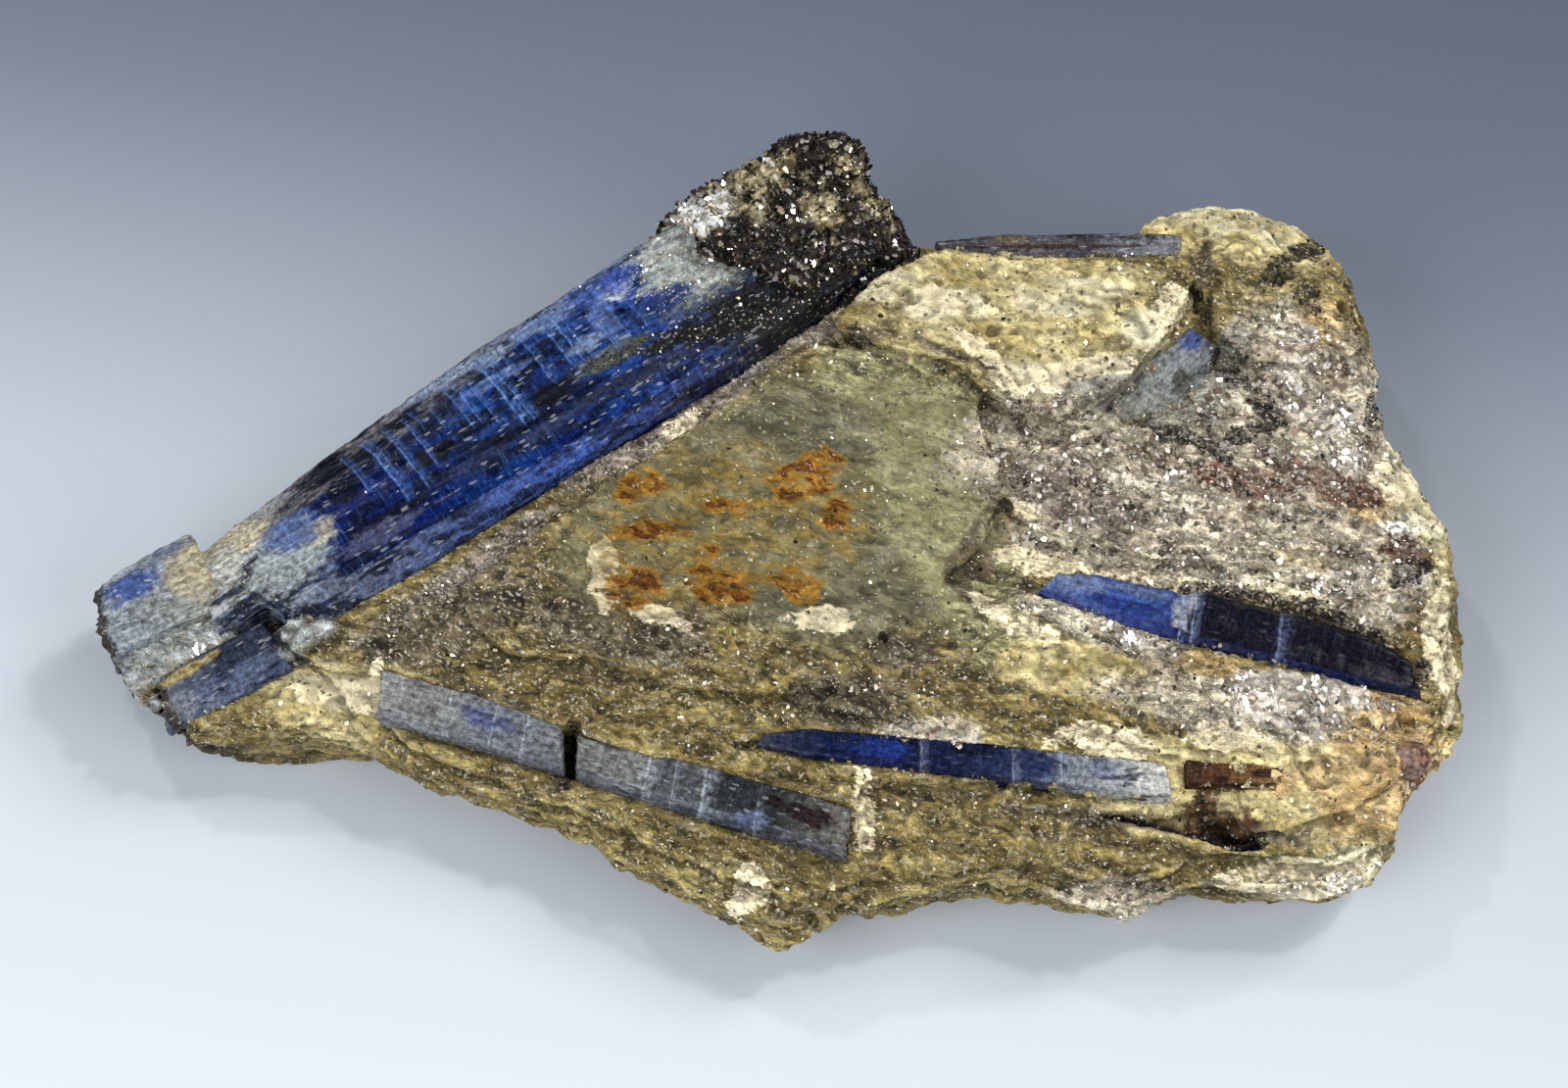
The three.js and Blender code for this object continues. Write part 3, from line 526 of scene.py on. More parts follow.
# %% Schist finish
def schist_finish():
    r = Recipe("golden_schist")
    flow = r.stretched(r.turned(r.wavy(r.place(), 2.4, 0.9), 18), (1.8, 1.0, 1.0))
    broad = r.noise(flow, 2.6, 6, 0.6)
    crinkle = r.noise(flow, (1.5, 1.0, 1.0), 8, 0.74)
    fine = r.noise(r.stretched(flow, (1.6, 1.0, 1.0)), 0.26, 5, 0.75)
    salt = r.add("ShaderNodeSeparateColor", Color=r.grains(flow, 0.15))
    smooth = r.larger(r.read("green"), r.times(r.read("gold"), r.minus(1.0, r.read("silver"))))
    colour = r.ramp(broad, ".32 .09 .065 .015, .5 .21 .157 .046, .66 .39 .31 .11")
    for name, low, high in (
        ("green", ".105 .097 .048", ".26 .248 .14"), ("pale", ".21 .2 .085", ".45 .43 .22"),
        ("gold", ".45 .35 .12", ".92 .79 .41"), ("silver", ".11 .075 .042", ".9 .8 .58"),
        ("mauve", ".085 .06 .045", ".42 .35 .28"), ("honey", ".56 .48 .23", ".97 .9 .61"),
        ("slate", ".09 .09 .07", ".36 .355 .29"),
        # white is pale mica with a painted highlight
        ("amber", ".36 .22 .065", ".9 .66 .32"), ("white", ".3 .24 .18", ".95 .86 .74"),
        # shade is painted shadow under the ledges
        ("glass", ".12 .135 .135", ".5 .54 .53"), ("shade", ".045 .035 .018", ".18 .145 .08"),
    ):
        colour = r.blend(r.read(name), colour, r.ramp(broad, f".36 {low}, .64 {high}"))
    patchy = r.noise(r.stretched(flow, (1.3, 1.0, 1.0)), 0.9, 6, 0.72)
    colour = r.blend(r.between(patchy, 0.52, 0.66, 0.0, 0.5), colour, (0.34, 0.32, 0.235))
    colour = r.blend(r.between(patchy, 0.47, 0.34, 0.0, 0.5), colour, (0.13, 0.083, 0.052))
    mixed = r.plus(r.times(crinkle, 0.5), r.times(fine, 0.5))
    for name, tint, bite, most, torn in (
        ("cream", (0.92, 0.8, 0.52), 0.5, 0.8, 4.5), ("olive", (0.36, 0.27, 0.08), 0.48, 0.9, 4.0),
        # the tint of the left end's low rim is painted shade
        ("bark", (0.03, 0.02, 0.012), 0.5, 0.9, 4.0), ("wine", (0.09, 0.022, 0.012), 0.54, 0.85, 4.0),
        # the crack's near black is painted shade in its gap
        ("dark", (0.008, 0.007, 0.006), 0.555, 0.96, 7.5), ("crack", (0.006, 0.004, 0.003), 0.44, 1.0, 3.0),
    ):
        ragged = r.plus(r.read(name), r.times(r.minus(mixed, bite), torn))
        share = r.times(r.between(ragged, 0.35, 0.6, 0.0, most), r.between(r.read(name), 0.02, 0.2))
        colour = r.blend(share, colour, tint)
    stain = r.noise(flow, 1.2, 7, 0.68)
    colour = r.blend(r.times(r.read("halo"), r.between(stain, 0.4, 0.58, 0.1, 0.75)), colour, (0.33, 0.22, 0.04))
    rust = r.plus(r.read("rust"), r.times(r.minus(stain, 0.52), 6.0))
    inside = r.between(r.read("rust"), 0.02, 0.2)
    ochre = r.times(r.between(rust, 0.0, 0.7, 0.0, 0.9), inside)
    core = r.times(r.between(rust, 0.85, 1.2, 0.0, 0.97), inside)
    colour = r.blend(ochre, colour, (0.36, 0.17, 0.01))
    colour = r.blend(core, colour, r.ramp(fine, ".4 .06 .017 .001, .6 .2 .062 .002"))
    # shade darkens and lightens the colour: the fine noise gives the grain its tone, the crinkle noise paints shade
    # along the same crinkles that bump the surface, and hollow adds painted shade in the hollows and painted light
    # on the ridges. The smooth, honey and white zones get less of it.
    shade = r.times(r.between(crinkle, 0.34, 0.66, 0.3, 1.7), r.between(fine, 0.32, 0.68, 0.45, 1.55))
    even = r.plus(r.times(smooth, 0.5),
                 r.times(r.larger(r.read("honey"), r.read("white")), 0.35))
    shade = r.calculate("POWER", shade, r.minus(1.0, even))
    shade = r.times(shade, r.between(r.read("hollow"), -0.16, 0.14, 0.4, 1.4))
    colour = r.shaded(colour, shade)
    shine = r.plus(salt, r.times(r.larger(r.read("silver"), r.read("mauve")), 0.16))
    calm = r.times(r.larger(smooth, r.read("rust")), 0.09)
    shine = r.between(r.minus(shine, calm), 0.87, 0.89)
    colour = r.blend(r.times(shine, 0.5), colour, (0.85, 0.78, 0.62))
    normal = r.bump(r.plus(crinkle, r.times(fine, 0.25)), 0.45, 0.9)
    normal = r.leaning(normal, flow, 0.15, 0.6)
    r.set(Base_Color=colour, Roughness=r.between(shine, 0.0, 1.0, 0.55, 0.24), Normal=normal,
          Metallic=r.times(shine, 0.85), Specular_IOR_Level=0.25)
    return r.material

keep(schist, "schist_matrix", schist_finish())

# %% [markdown]
# ## Mica leaves
# Loose-edged plates of mica lie all over the face, and they give the specimen its glitter. Each is a thin
# five-sided leaf, near the foliation but never quite in it. They are joined into a few pieces, one for each kind
# of mica. The finish already draws grains, but only a real leaf stands up and catches the light by itself.

# %% Leaves on a surface
def face_samples(mesh, count, random):
    """Random places spread evenly over a mesh: points, normals and the nearest vertex of each."""
    mesh.calc_loop_triangles()
    corners = read_all(mesh.loop_triangles, "vertices", 3, np.int32)
    vertices, normals = points_of(mesh), normals_of(mesh)
    a, b, c = (vertices[corners[:, k]] for k in range(3))
    area = np.linalg.norm(np.cross(b - a, c - a), axis=1)
    chosen = random.choice(len(area), count, p=area / area.sum())
    u, v = random.random(count), random.random(count)
    fold = u + v > 1
    u[fold], v[fold] = 1 - u[fold], 1 - v[fold]
    spots = a[chosen] + u[:, None] * (b - a)[chosen] + v[:, None] * (c - a)[chosen]
    return spots, normals[corners[chosen, 0]], corners[chosen, 0]


FOLIATION = (0.34, -0.08, 0.94)  # the direction that the rock's own sheets face

def leaves(name, material, spots, normals, sizes, lean, random, lift=0.3, sides=5, dip=0.0):
    """One piece made of thin leaves that lean away from the surface by about `lean`; sizes are radii in mm. The
    share `dip` of each leaf's direction is the foliation's own dip to the right."""
    count = len(spots)
    share = np.reshape(dip, (-1, 1))
    tumble = random.normal(0, 1, (count, 3)) * lean * (1 - 0.5 * share)
    up = normals * (1 - share) + share * np.array(FOLIATION) + tumble
    up /= np.linalg.norm(up, axis=1, keepdims=True)
    side = np.cross(up, random.normal(0, 1, (count, 3)))
    side /= np.linalg.norm(side, axis=1, keepdims=True)
    other = np.cross(up, side)
    angle = np.linspace(0, 2 * math.pi, sides + 1)[:-1] + random.uniform(-0.3, 0.3, (count, sides))
    reach = sizes[:, None] * random.uniform(0.6, 1.2, (count, sides))
    narrow = random.uniform(0.4, 1.0, (count, 1))
    middles = spots + normals * (sizes * lift)[:, None]
    corners = (middles[:, None] + side[:, None] * (reach * np.cos(angle))[..., None]
               + other[:, None] * (reach * narrow * np.sin(angle))[..., None])
    corners = corners[(corners[..., 2] > 0.05).all(1)]
    mesh = bpy.data.meshes.new(name)
    mesh.from_pydata((corners.reshape(-1, 3) * MM).tolist(), [],
                     np.arange(len(corners) * sides).reshape(-1, sides).tolist())
    store(mesh, "tone", np.repeat(random.random(len(corners)), sides))
    mesh.materials.append(material)
    piece = put(name, mesh)
    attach(piece, "root")
    print(f"{name}: {len(corners)} leaves, {len(corners) * (sides - 2)} triangles")


def mica_finish(name, stops, roughness=0.28, metallic=0.35):
    """Pearly mica: many thin sheets reflect more than one surface can, so it is given a little metallic shine."""
    r = Recipe(name)
    r.set(Base_Color=r.ramp(r.read("tone"), stops), Roughness=roughness, Metallic=metallic, Specular_IOR_Level=0.8)
    return r.material


GOLDEN_MICA = mica_finish("golden_mica", "0 .1 .075 .03, .5 .27 .215 .1, .85 .5 .42 .22, 1 .78 .7 .48")
SILVER_MICA = mica_finish("silver_mica", "0 .12 .07 .05, .25 .32 .26 .2, .7 .55 .49 .4, 1 .9 .87 .8", 0.22, 0.5)
BRIGHT_MICA = mica_finish("bright_mica", "0 .5 .45 .36, .7 .85 .81 .72, 1 .97 .96 .94", 0.22, 0.7)
BLACK_MICA = mica_finish("black_mica", "0 .004 .004 .004, .75 .022 .019 .016, .93 .09 .065 .035, 1 .4 .37 .32",
                         0.2, 0.15)

# %% [markdown]
# ## The mica of the schist
# On the real slab the flakes aren't spread evenly. Silvery ones crowd at the right, black ones follow the dark
# streaks, and rusty patches have hardly any. A particle system could strew them, but joined meshes can be
# exported as they are. So each random place is kept or dropped by the value that the zones have there.

# %% Scatter the mica of the schist
random = np.random.default_rng(20)
SLAB_PLACES = 260000
density = 1.0
spots, normals, vertex = face_samples(schist.data, int(SLAB_PLACES * density), random)

def at_spots(mesh, name, vertex):
    """A zone's value at the vertices that lie nearest to some spots."""
    return read_all(mesh.attributes[name].data, "value")[vertex]

silver, green, dark, rust, mauve, glass, white, wine = (
    at_spots(schist.data, name, vertex) for name in "silver green dark rust mauve glass white wine".split())
visible = fade(spots[:, 2], 2.0, 7.0) * (0.35 + 0.65 * fade(normals[:, 2], 0.0, 0.6))
draw = random.random(len(spots))
thin_edge = random.random(len(spots)) ** 3
chosen = draw < visible * (0.12 - 0.08 * green) * (1 - silver) * (1 - dark) * (1 - rust) * (1 - glass)
leaves("golden_mica_leaves", GOLDEN_MICA, spots[chosen], normals[chosen], 0.07 + 0.2 * thin_edge[chosen],
       0.22, random)
cluster = 0.4 + 1.2 * fade(rough(spots, 2.6, 603), -0.2, 0.3)
share = 0.03 - 0.02 * green + 0.26 * silver + 0.13 * mauve + 0.2 * wine
chosen = draw > 1 - cluster * visible * share * (1 - dark) * (1 - rust)
leaves("silver_mica_leaves", SILVER_MICA, spots[chosen], normals[chosen],
       0.07 + (0.22 + 0.12 * silver[chosen]) * thin_edge[chosen],
       0.3, random)
draw = random.random(len(spots))
cluster = 0.2 + 1.7 * fade(rough(spots, 2.0, 601), -0.05, 0.35)
share = 0.024 - 0.012 * green + 0.08 * silver + 0.06 * mauve + 0.08 * glass + 0.5 * white
chosen = draw < cluster * visible * share * (1 - 0.6 * dark) * (1 - rust)
leaves("bright_mica_leaves", BRIGHT_MICA, spots[chosen], normals[chosen],
       0.04 + (0.16 + 0.32 * white[chosen]) * thin_edge[chosen], 0.3, random, dip=0.2 + 0.6 * white[chosen])
cluster = fade(rough(spots, 1.8, 607), 0.0, 0.35)
chosen = draw > 1 - visible * (0.01 + 0.5 * dark + 0.14 * silver * cluster)
leaves("dark_mica_leaves", BLACK_MICA, spots[chosen], normals[chosen], 0.08 + 0.2 * thin_edge[chosen],
       0.4, random)

# %% [markdown]
# ## Kyanite blades
# A kyanite crystal cleaves along its length and parts across it. So each blade gets its own coordinates: along,
# across and up from its own middle line. Lengthwise steps, cross partings and colour zones are all written in
# them.

# %% A blade's own coordinates
def blade_axes(node):
    """Start point, length and the unit vectors along, across and up, from the rings at the solid's two ends."""
    corners = np.unique(np.round(points_of(solids[node].data), 3), axis=0)
    by_length = corners[np.argsort(corners[:, 0])]
    start, end = by_length[:8].mean(0), by_length[-8:].mean(0)
    length = np.linalg.norm(end - start)
    along = (end - start) / length
    across = np.cross((0, 0, 1), along)
    across /= np.linalg.norm(across)
    return start, length, np.stack([along, across, np.cross(along, across)])


def carve(name, node, cell, steps=0.1, streaks=0.045, chipped=0.35, seed=0, rounding=0, reach=(0.0, 0.0)):
    """A blade's net with lengthwise cleavage steps, fine streaks and broken ends."""
    piece = fine_net(name, node, cell * (1))
    net = piece.data
    start, length, axes = blade_axes(node)
    points, normals = points_of(net), normals_of(net)
    points = softened(points, edges_of(net), rounding) if rounding else points
    own = (points - start) @ axes.T
    wide = own + 0.25 * rough(own, (9.0, 3.0, 3.0), seed + 1)[:, None]
    level = rough(wide, (26.0, 2.2, 2.2), seed + 2, 3) * 4
    cleaved = (np.floor(level) + fade(level - np.floor(level), 0.75, 1.0)) * steps
    fine = streaks * lumps(wide, (12.0, 0.45, 0.45), seed + 3)
    end_gap = np.minimum(own[:, 0], length - own[:, 0])
    broken = chipped * fade(end_gap, 1.6, 0.0) * rough(points, 1.2, seed + 4)
    worn = 0.06 * rough(points, 0.9, seed + 5, 3)
    edge_wear = 0.12 * rough(points, (1.4, 1.4, 1.4), seed + 6, 3) * fade(np.abs(normals[:, 2]), 0.95, 0.7)
    moved = points + normals * (cleaved + fine + broken + worn + edge_wear - 0.08)[:, None]
    push = reach[1] * fade(length - own[:, 0], 2.0, 0.0) - reach[0] * fade(own[:, 0], 2.0, 0.0)
    moved += push[:, None] * axes[0]
    move_points(net, moved)
    store(net, "own", own)
    store(net, "side", normals @ axes[1])
    return piece, length


# %% [markdown]
# The finish of a blade is built in layers, as it is in the crystal: a body colour in zones, dark and milky
# clouds, fine threads along it, hair-thin partings across it, and then any stain or inclusion. Kyanite is glassy
# and partly clear, so some light goes through it, and the outer skin keeps a polish.

# %% Kyanite finish
# The dark brown tint for the crystals' left ends is painted shade.
TINTS = {"ink": ".001 .002 .008", "greenish": ".34 .365 .33", "milky": ".27 .34 .46", "creamy": ".68 .6 .4",
         "bark": ".035 .026 .017"}

def kyanite(name, zones, length, dark=(0.0015, 0.003, 0.016), dark_share=0.54, pale=(0.11, 0.19, 0.38),
            pale_share=0.64, milk=0.3, partings="", bevel="", facet="", clear=0.08, roughness=0.18, spots="",
            glint_specks=0.3, scratches=0.5, rungs=0.1):
    """The tables are text. The rows of zones, and of bevel and facet for the two long side faces, are a share of
    the length and a colour. Those of partings are mm along, half width, strength, lowest and highest across. Those
    of spots are mm along, mm across, half length, half width, strength and a colour or one of the tints."""
    r = Recipe(name)
    own = r.read("own", "Vector")
    along, across = (r.add("ShaderNodeSeparateXYZ", output=k, Vector=own) for k in (0, 1))
    cloud = r.noise(r.wavy(own, 3.0, 0.4), (3.4, 1.1, 1.1), 5, 0.6)
    veil = r.noise(own, (0.9, 2.4, 2.4), 5, 0.65)
    thread = r.noise(r.wavy(own, 4.0, 0.3), (5.0, 0.24, 0.24), 4, 0.65)
    scratch = r.noise(r.wavy(own, 2.0, 0.5), (1.3, 0.3, 0.3), 5, 0.75)
    mottled = r.noise(own, 0.45, 5, 0.7)
    wobble = r.times(r.minus(veil, 0.5), 4.0)
    share = r.calculate("DIVIDE", r.plus(along, wobble), length)
    colour = r.ramp(share, zones)
    side = r.read("side")
    if bevel:
        colour = r.blend(r.between(side, 0.2, 0.4), colour, r.ramp(share, bevel))
    if facet:
        colour = r.blend(r.between(side, -0.2, -0.45), colour, r.ramp(share, facet))
    colour = r.blend(r.between(cloud, dark_share, dark_share + 0.1, 0.0, 0.9), colour, dark)
    colour = r.blend(r.between(veil, pale_share, pale_share + 0.16, 0.0, milk), colour, pale)
    colour = r.blend(r.between(scratch, 0.61, 0.7, 0.0, scratches), colour, pale)
    colour = r.blend(r.between(scratch, 0.42, 0.32, 0.0, scratches), colour, dark)
    rung = r.noise(r.wavy(own, 1.5, 0.3), (0.17, 2.4, 2.4), 4, 0.7)
    colour = r.blend(r.between(rung, 0.54, 0.66, 0.0, rungs), colour, pale)
    colour = r.blend(r.between(rung, 0.46, 0.34, 0.0, rungs), colour, dark)
    ragged = r.noise(own, (1.4, 0.7, 0.7), 6, 0.7)
    for word, tint in TINTS.items():
        spots = spots.replace(word, tint)
    for x, y, long, wide, strength, *tint in rows(spots):
        dx = r.calculate("DIVIDE", r.minus(along, x), long)
        dy = r.calculate("DIVIDE", r.minus(across, y), wide)
        reach = r.plus(r.times(dx, dx), r.times(dy, dy))
        reach = r.plus(reach, r.times(r.minus(ragged, 0.5), 4.0))
        colour = r.blend(r.between(reach, 1.4, 0.4, 0.0, strength), colour, tuple(tint))
    if partings:
        slant = r.plus(along, r.times(across, 0.1))
        slant = r.plus(slant, r.times(r.minus(r.noise(own, 2.0, 3), 0.5), 0.5))
        lines = haze = 0.0
        for position, width, strength, low, high in rows(partings):
            away = r.minus(slant, position)
            inside = r.times(r.between(across, low - 0.5, low + 0.3), r.between(across, high + 0.5, high - 0.3))
            core = r.between(r.calculate("ABSOLUTE", away), 1.2 * width, 0.2 * width, 0.0, 0.6 * strength)
            soft = r.between(r.calculate("ABSOLUTE", r.minus(away, 2.5 * width)), 6 * width, 0.0, 0.0,
                             0.55 * strength)
            lines = r.larger(lines, r.times(core, inside))
            haze = r.larger(haze, r.times(soft, inside))
        broken = r.between(r.noise(own, (0.4, 1.0, 1.0), 4, 0.7), 0.34, 0.5, 0.25, 1.0)
        colour = r.blend(r.times(haze, r.between(mottled, 0.3, 0.6)), colour, pale)
        colour = r.blend(r.times(lines, broken), colour, tuple(min(1, 0.04 + c * 1.7) for c in pale))
    shade = r.times(r.between(mottled, 0.3, 0.7, 0.35, 1.7), r.between(thread, 0.3, 0.7, 0.72, 1.3))
    colour = r.shaded(colour, shade)
    # Pale grains scattered over the blade are painted glints.
    glint_grain = r.add("ShaderNodeSeparateColor", Color=r.grains(r.stretched(own, (2.6, 0.8, 0.8)), 0.2))
    colour = r.blend(r.between(glint_grain, 0.955, 0.975, 0.0, glint_specks), colour, (0.6, 0.63, 0.66))
    normal = r.bump(r.plus(thread, mottled), 0.06, 0.6)
    r.set(Base_Color=colour, Roughness=r.between(mottled, 0.35, 0.75, roughness, roughness + 0.18), Normal=normal,
          IOR=1.72, Specular_IOR_Level=0.035, Transmission_Weight=clear, Coat_Weight=0.02, Coat_Roughness=0.08)
    return r.material


# %% [markdown]
# ## The large blade
# This crystal sets the look of the specimen. It is deep blue with inky clouds, pale hair-thin partings cross it,
# a grey bevel runs along its outer side, and its upper end turns grey. Noise alone would put such marks anywhere.
# They are placed one by one instead, because this is the piece that everyone looks at first.

# %% The large blade
large, length = carve("large_kyanite_blade", "large_blade", 0.21, 0.08, 0.04, 0.6, 100, reach=(0.5, 0.0))
large_partings = """13.6 .1 .8 -2.4 2.3, 15.7 .12 1 -4.9 2.5, 16.3 .07 .6 -3 2, 17.6 .1 .8 -4.6 2.5,
    19.3 .08 .7 -3.5 2.4, 20.2 .07 .5 0 2.6, 21.6 .07 .4 -1 2, 23.5 .1 .8 -2 3, 24.3 .09 .7 -2 3,
    25.4 .07 .5 -3 2, 27 .13 1 -4 3.5, 27.8 .1 .9 -4 3.3, 29 .07 .4 -1 3, 31 .1 .6 -2.1 3.3, 33.2 .12 .7 -1.5 3.6,
    34.1 .12 .7 -1.5 3.6, 34.8 .1 .6 -2 3, 36.9 .1 .6 -2.6 .6, 38.4 .09 .5 -2 3, 40 .08 .4 -2 4"""
large_spots = """2.5 .2 3.2 2.2 .85 creamy, .4 -1.6 2.4 2.2 .8 .42 .43 .38, 5.6 -4.4 3.6 2 .85 .3 .33 .33,
    8.6 -3.4 1.8 1.2 .6 .46 .42 .28, 6.9 .3 .5 .15 1 .2 .03 .02, 6.8 -2.4 2.6 1.7 .85 .07 .11 .26,
    6.2 1.8 2 1.2 .7 .34 .35 .34, 12.2 1.6 3.2 1.5 1 ink, 15.4 1 2.4 .9 .9 ink, 10 4.4 5 .8 .8 .02 .02 .018,
    20.5 .2 1.8 1.2 .7 ink, 26.4 1.4 1.6 1 .7 ink, 30.2 .4 1.8 1 .8 ink, 20 -2.6 2.4 .8 1 ink,
    24.6 -2 2.6 .7 .9 ink, 30.4 -3 3.2 .9 1 ink, 19.4 1.9 2 .8 1 ink, 28.4 -.6 1.6 1 .8 ink, 34 .4 1.8 .9 .7 ink,
    17.2 -1 1.4 1.2 .8 ink, 23 1.6 1.2 1 .8 ink, 14.4 -5.4 4.4 .7 .9 .006 .007 .018,
    45 -1.6 3.6 1.5 .8 .07 .085 .12, 24 3.6 4 .7 .7 milky, 22 -4.8 5 .5 .8 .02 .025 .06,
    39.4 2.2 1.4 .8 .8 .6 .64 .72, 28.2 2.8 1.8 .8 .8 milky, 33.2 3.2 3.4 1 .8 .16 .23 .42,
    27 .6 3.6 .5 .6 .1 .16 .36, 37.4 .6 1.2 2.2 .6 .1 .16 .36, 38.2 3.4 3 1.4 .7 .05 .09 .3,
    48 2 6.4 4.4 .95 greenish, 56 0 5 6 .95 .06 .06 .052, 42.4 -.6 3 1 .95 .012 .03 .12,
    37 -2.9 3.6 .6 .95 .01 .012 .01, 41.5 -4 3.6 .9 .95 .01 .012 .01, 46.5 -4.9 4 1.3 .95 .01 .012 .01,
    50 -5 8 3 .95 .012 .012 .011, 36.4 -2.6 3.4 .9 .8 .09 .1 .075, 39.4 -5.6 3.6 .9 .85 .02 .026 .05,
    34 -5 3.2 .7 .8 .02 .026 .06, 29 -5.4 3 .6 .7 .03 .045 .1, 26.4 -4.2 3.6 .7 .75 ink, 32.6 -4 2.6 .6 .8 ink,
    18 -4.4 2.6 .6 .75 ink, 35 -.6 1.6 .8 .7 .2 .25 .34, 12.6 -6.2 3.4 .9 .7 .07 .075 .15, 12.4 -1.2 1.6 1 .8 ink,
    40.4 3 2 1.2 .6 .03 .06 .26"""
finish = kyanite("deep_blue_kyanite", """0 .36 .37 .35, .1 .2 .23 .28, .16 .0005 .008 .085, .3 .0005 .008 .085,
                     .42 .004 .03 .15, .5 .0005 .008 .085, .58 .004 .03 .15, .7 .02 .05 .22, .8 .04 .06 .11""",
                 length, partings=large_partings, spots=large_spots, clear=0.05, dark_share=0.47, glint_specks=0.3,
                 rungs=0.4, pale=(0.05, 0.12, 0.34),
                 bevel="0 .2 .2 .19, .2 .14 .13 .12, .45 .15 .15 .18, .65 .17 .23 .4, .8 .2 .23 .28",
                 facet="""0 .16 .18 .21, .2 .08 .1 .17, .35 .045 .075 .22, .5 .04 .085 .32, .65 .03 .05 .18,
                     .8 .012 .014 .02""")
keep(large, "large_blade", finish)

# %% [markdown]
# ## The left end
# A parting has cut the clear tip off the large blade, and a smaller blade runs under it. The tip could be plain
# glass, but a real one is flawed and cloudy, so it passes a third of the light and keeps pale clouds. Both
# crystals start dark brown at their left end, a painted shade, which is one wide spot at their very end.

# %% The clear tip and the small foot blade
tip, length = carve("clear_kyanite_tip", "tip_segment", 0.16, 0.1, 0.05, 0.8, 140, 8, (0.0, 0.9))
finish = kyanite("pale_kyanite", "0 .24 .29 .33, .5 .34 .39 .4, 1 .4 .4 .33", length,
                 dark=(0.16, 0.18, 0.19), pale=(0.75, 0.8, 0.82), clear=0.3, glint_specks=0.8,
                 spots="""3 -.2 2.5 1.7 .9 .03 .08 .32, 5.8 .8 1.6 1.2 .6 .14 .19 .32,
                     6.2 2.6 1.4 .7 .7 .12 .17 .3, 7.6 -.5 1.8 2.4 .85 .5 .43 .26,
                     4.5 -2.6 2.4 1.2 .7 .22 .23 .22, 1.6 1.6 1.8 1 .7 .5 .56 .6, -.4 0 .9 9 .95 bark""")
keep(tip, "tip_segment", finish)

foot, length = carve("foot_kyanite_blade", "foot_blade", 0.16, 0.06, 0.04, 0.3, 150, 2, (-0.8, 0.0))
finish = kyanite("foot_kyanite", "0 .11 .13 .17, .4 .06 .07 .1, .6 .025 .03 .05, 1 .02 .024 .04", length,
                 facet="0 .1 .12 .18, 1 .08 .1 .17",
                 spots=".4 0 .9 9 .95 bark, 1.6 -1 1.6 1.2 .5 .2 .21 .22, 3.6 1.2 2.8 .6 .9 .34 .26 .1",
                 scratches=0.3)
keep(foot, "foot_blade", finish)

# %% [markdown]
# ## The grey blade
# One crystal broke across, and a dark gap parts its halves. Each half has a net and a finish of its own, so that
# the upper one can stay clean while the lower one is clouded with dark inclusions.

# %% The grey blade, in two parts
upper, length = carve("grey_kyanite_upper", "grey_blade_upper", 0.17, 0.06, 0.04, 0.25, 160, reach=(0.3, 0.3))
finish = kyanite("grey_kyanite_upper", "0 .26 .27 .26, .4 .2 .21 .2, .6 .13 .145 .18, 1 .17 .18 .185",
                 length, dark=(0.09, 0.095, 0.09), pale=(0.3, 0.33, 0.36), facet="0 .22 .235 .24, 1 .13 .14 .16",
                 spots="8.6 .3 2.4 .7 .75 .06 .075 .19, 3 -.5 2 .6 .6 .1 .1 .1",
                 partings="5.6 .1 .5 -2 2, 9.4 .1 .5 -2 2, 12 .12 .6 -2 2", clear=0.15)
keep(upper, "grey_blade_upper", finish)

lower, length = carve("grey_kyanite_lower", "grey_blade_lower", 0.18, 0.06, 0.04, 0.3, 170, reach=(0.3, 0.0))
finish = kyanite("grey_kyanite_lower", """0 .15 .16 .145, .24 .18 .19 .18, .3 .07 .075 .075, .48 .09 .095 .095,
                     .5 .02 .024 .024, .75 .026 .03 .03, 1 .16 .15 .13""",
                 length, dark=(0.03, 0.034, 0.038), pale=(0.28, 0.31, 0.36), facet="""0 .13 .14 .15,
                     .6 .07 .08 .11, 1 .1 .1 .1""",
                 partings="5.6 .12 .9 -2.5 2.5, 10.2 .16 .9 -2.5 2.5, 7.8 .08 .5 -2 2, 14.6 .1 .5 -2 0",
                 spots="""15.6 .6 1 .45 1 .012 .006 .006, 18.8 .2 2 .8 .95 .015 .008 .007,
                     14.6 -1.2 1.4 .6 .7 .09 .12 .24""", clear=0.15)
keep(lower, "grey_blade_lower", finish)

# %% [markdown]
# ## The navy blade
# The thinnest blade is nearly black at its left, and it fades to cream at its right end. The short stub past it
# is stained by iron. It takes the same recipe with rust colours, no clearness and a rougher skin, because rust
# covers the kyanite rather than replacing it.

# %% The navy blade and its rusty stub
navy, length = carve("navy_kyanite_blade", "navy_blade", 0.17, 0.06, 0.04, 0.3, 180)
finish = kyanite("navy_kyanite", """0 .03 .035 .06, .15 .005 .01 .045, .3 .006 .012 .07, .42 .004 .008 .04,
                     .6 .014 .022 .06, .68 .05 .065 .12, .8 .24 .26 .28, 1 .52 .52 .47""",
                 length, pale=(0.2, 0.23, 0.3), scratches=0.25, glint_specks=0.06,
                 partings="12.4 .1 .5 -2 2, 19.6 .1 .5 -2 2, 23.4 .12 .7 -2 2, 28 .12 .6 -2 2",
                 spots="9.6 0 2.2 .8 .8 .012 .03 .17, 21.5 0 2 1 .8 .01 .016 .06, 26.6 .2 1.4 .8 .6 .07 .09 .18")
keep(navy, "navy_blade", finish)

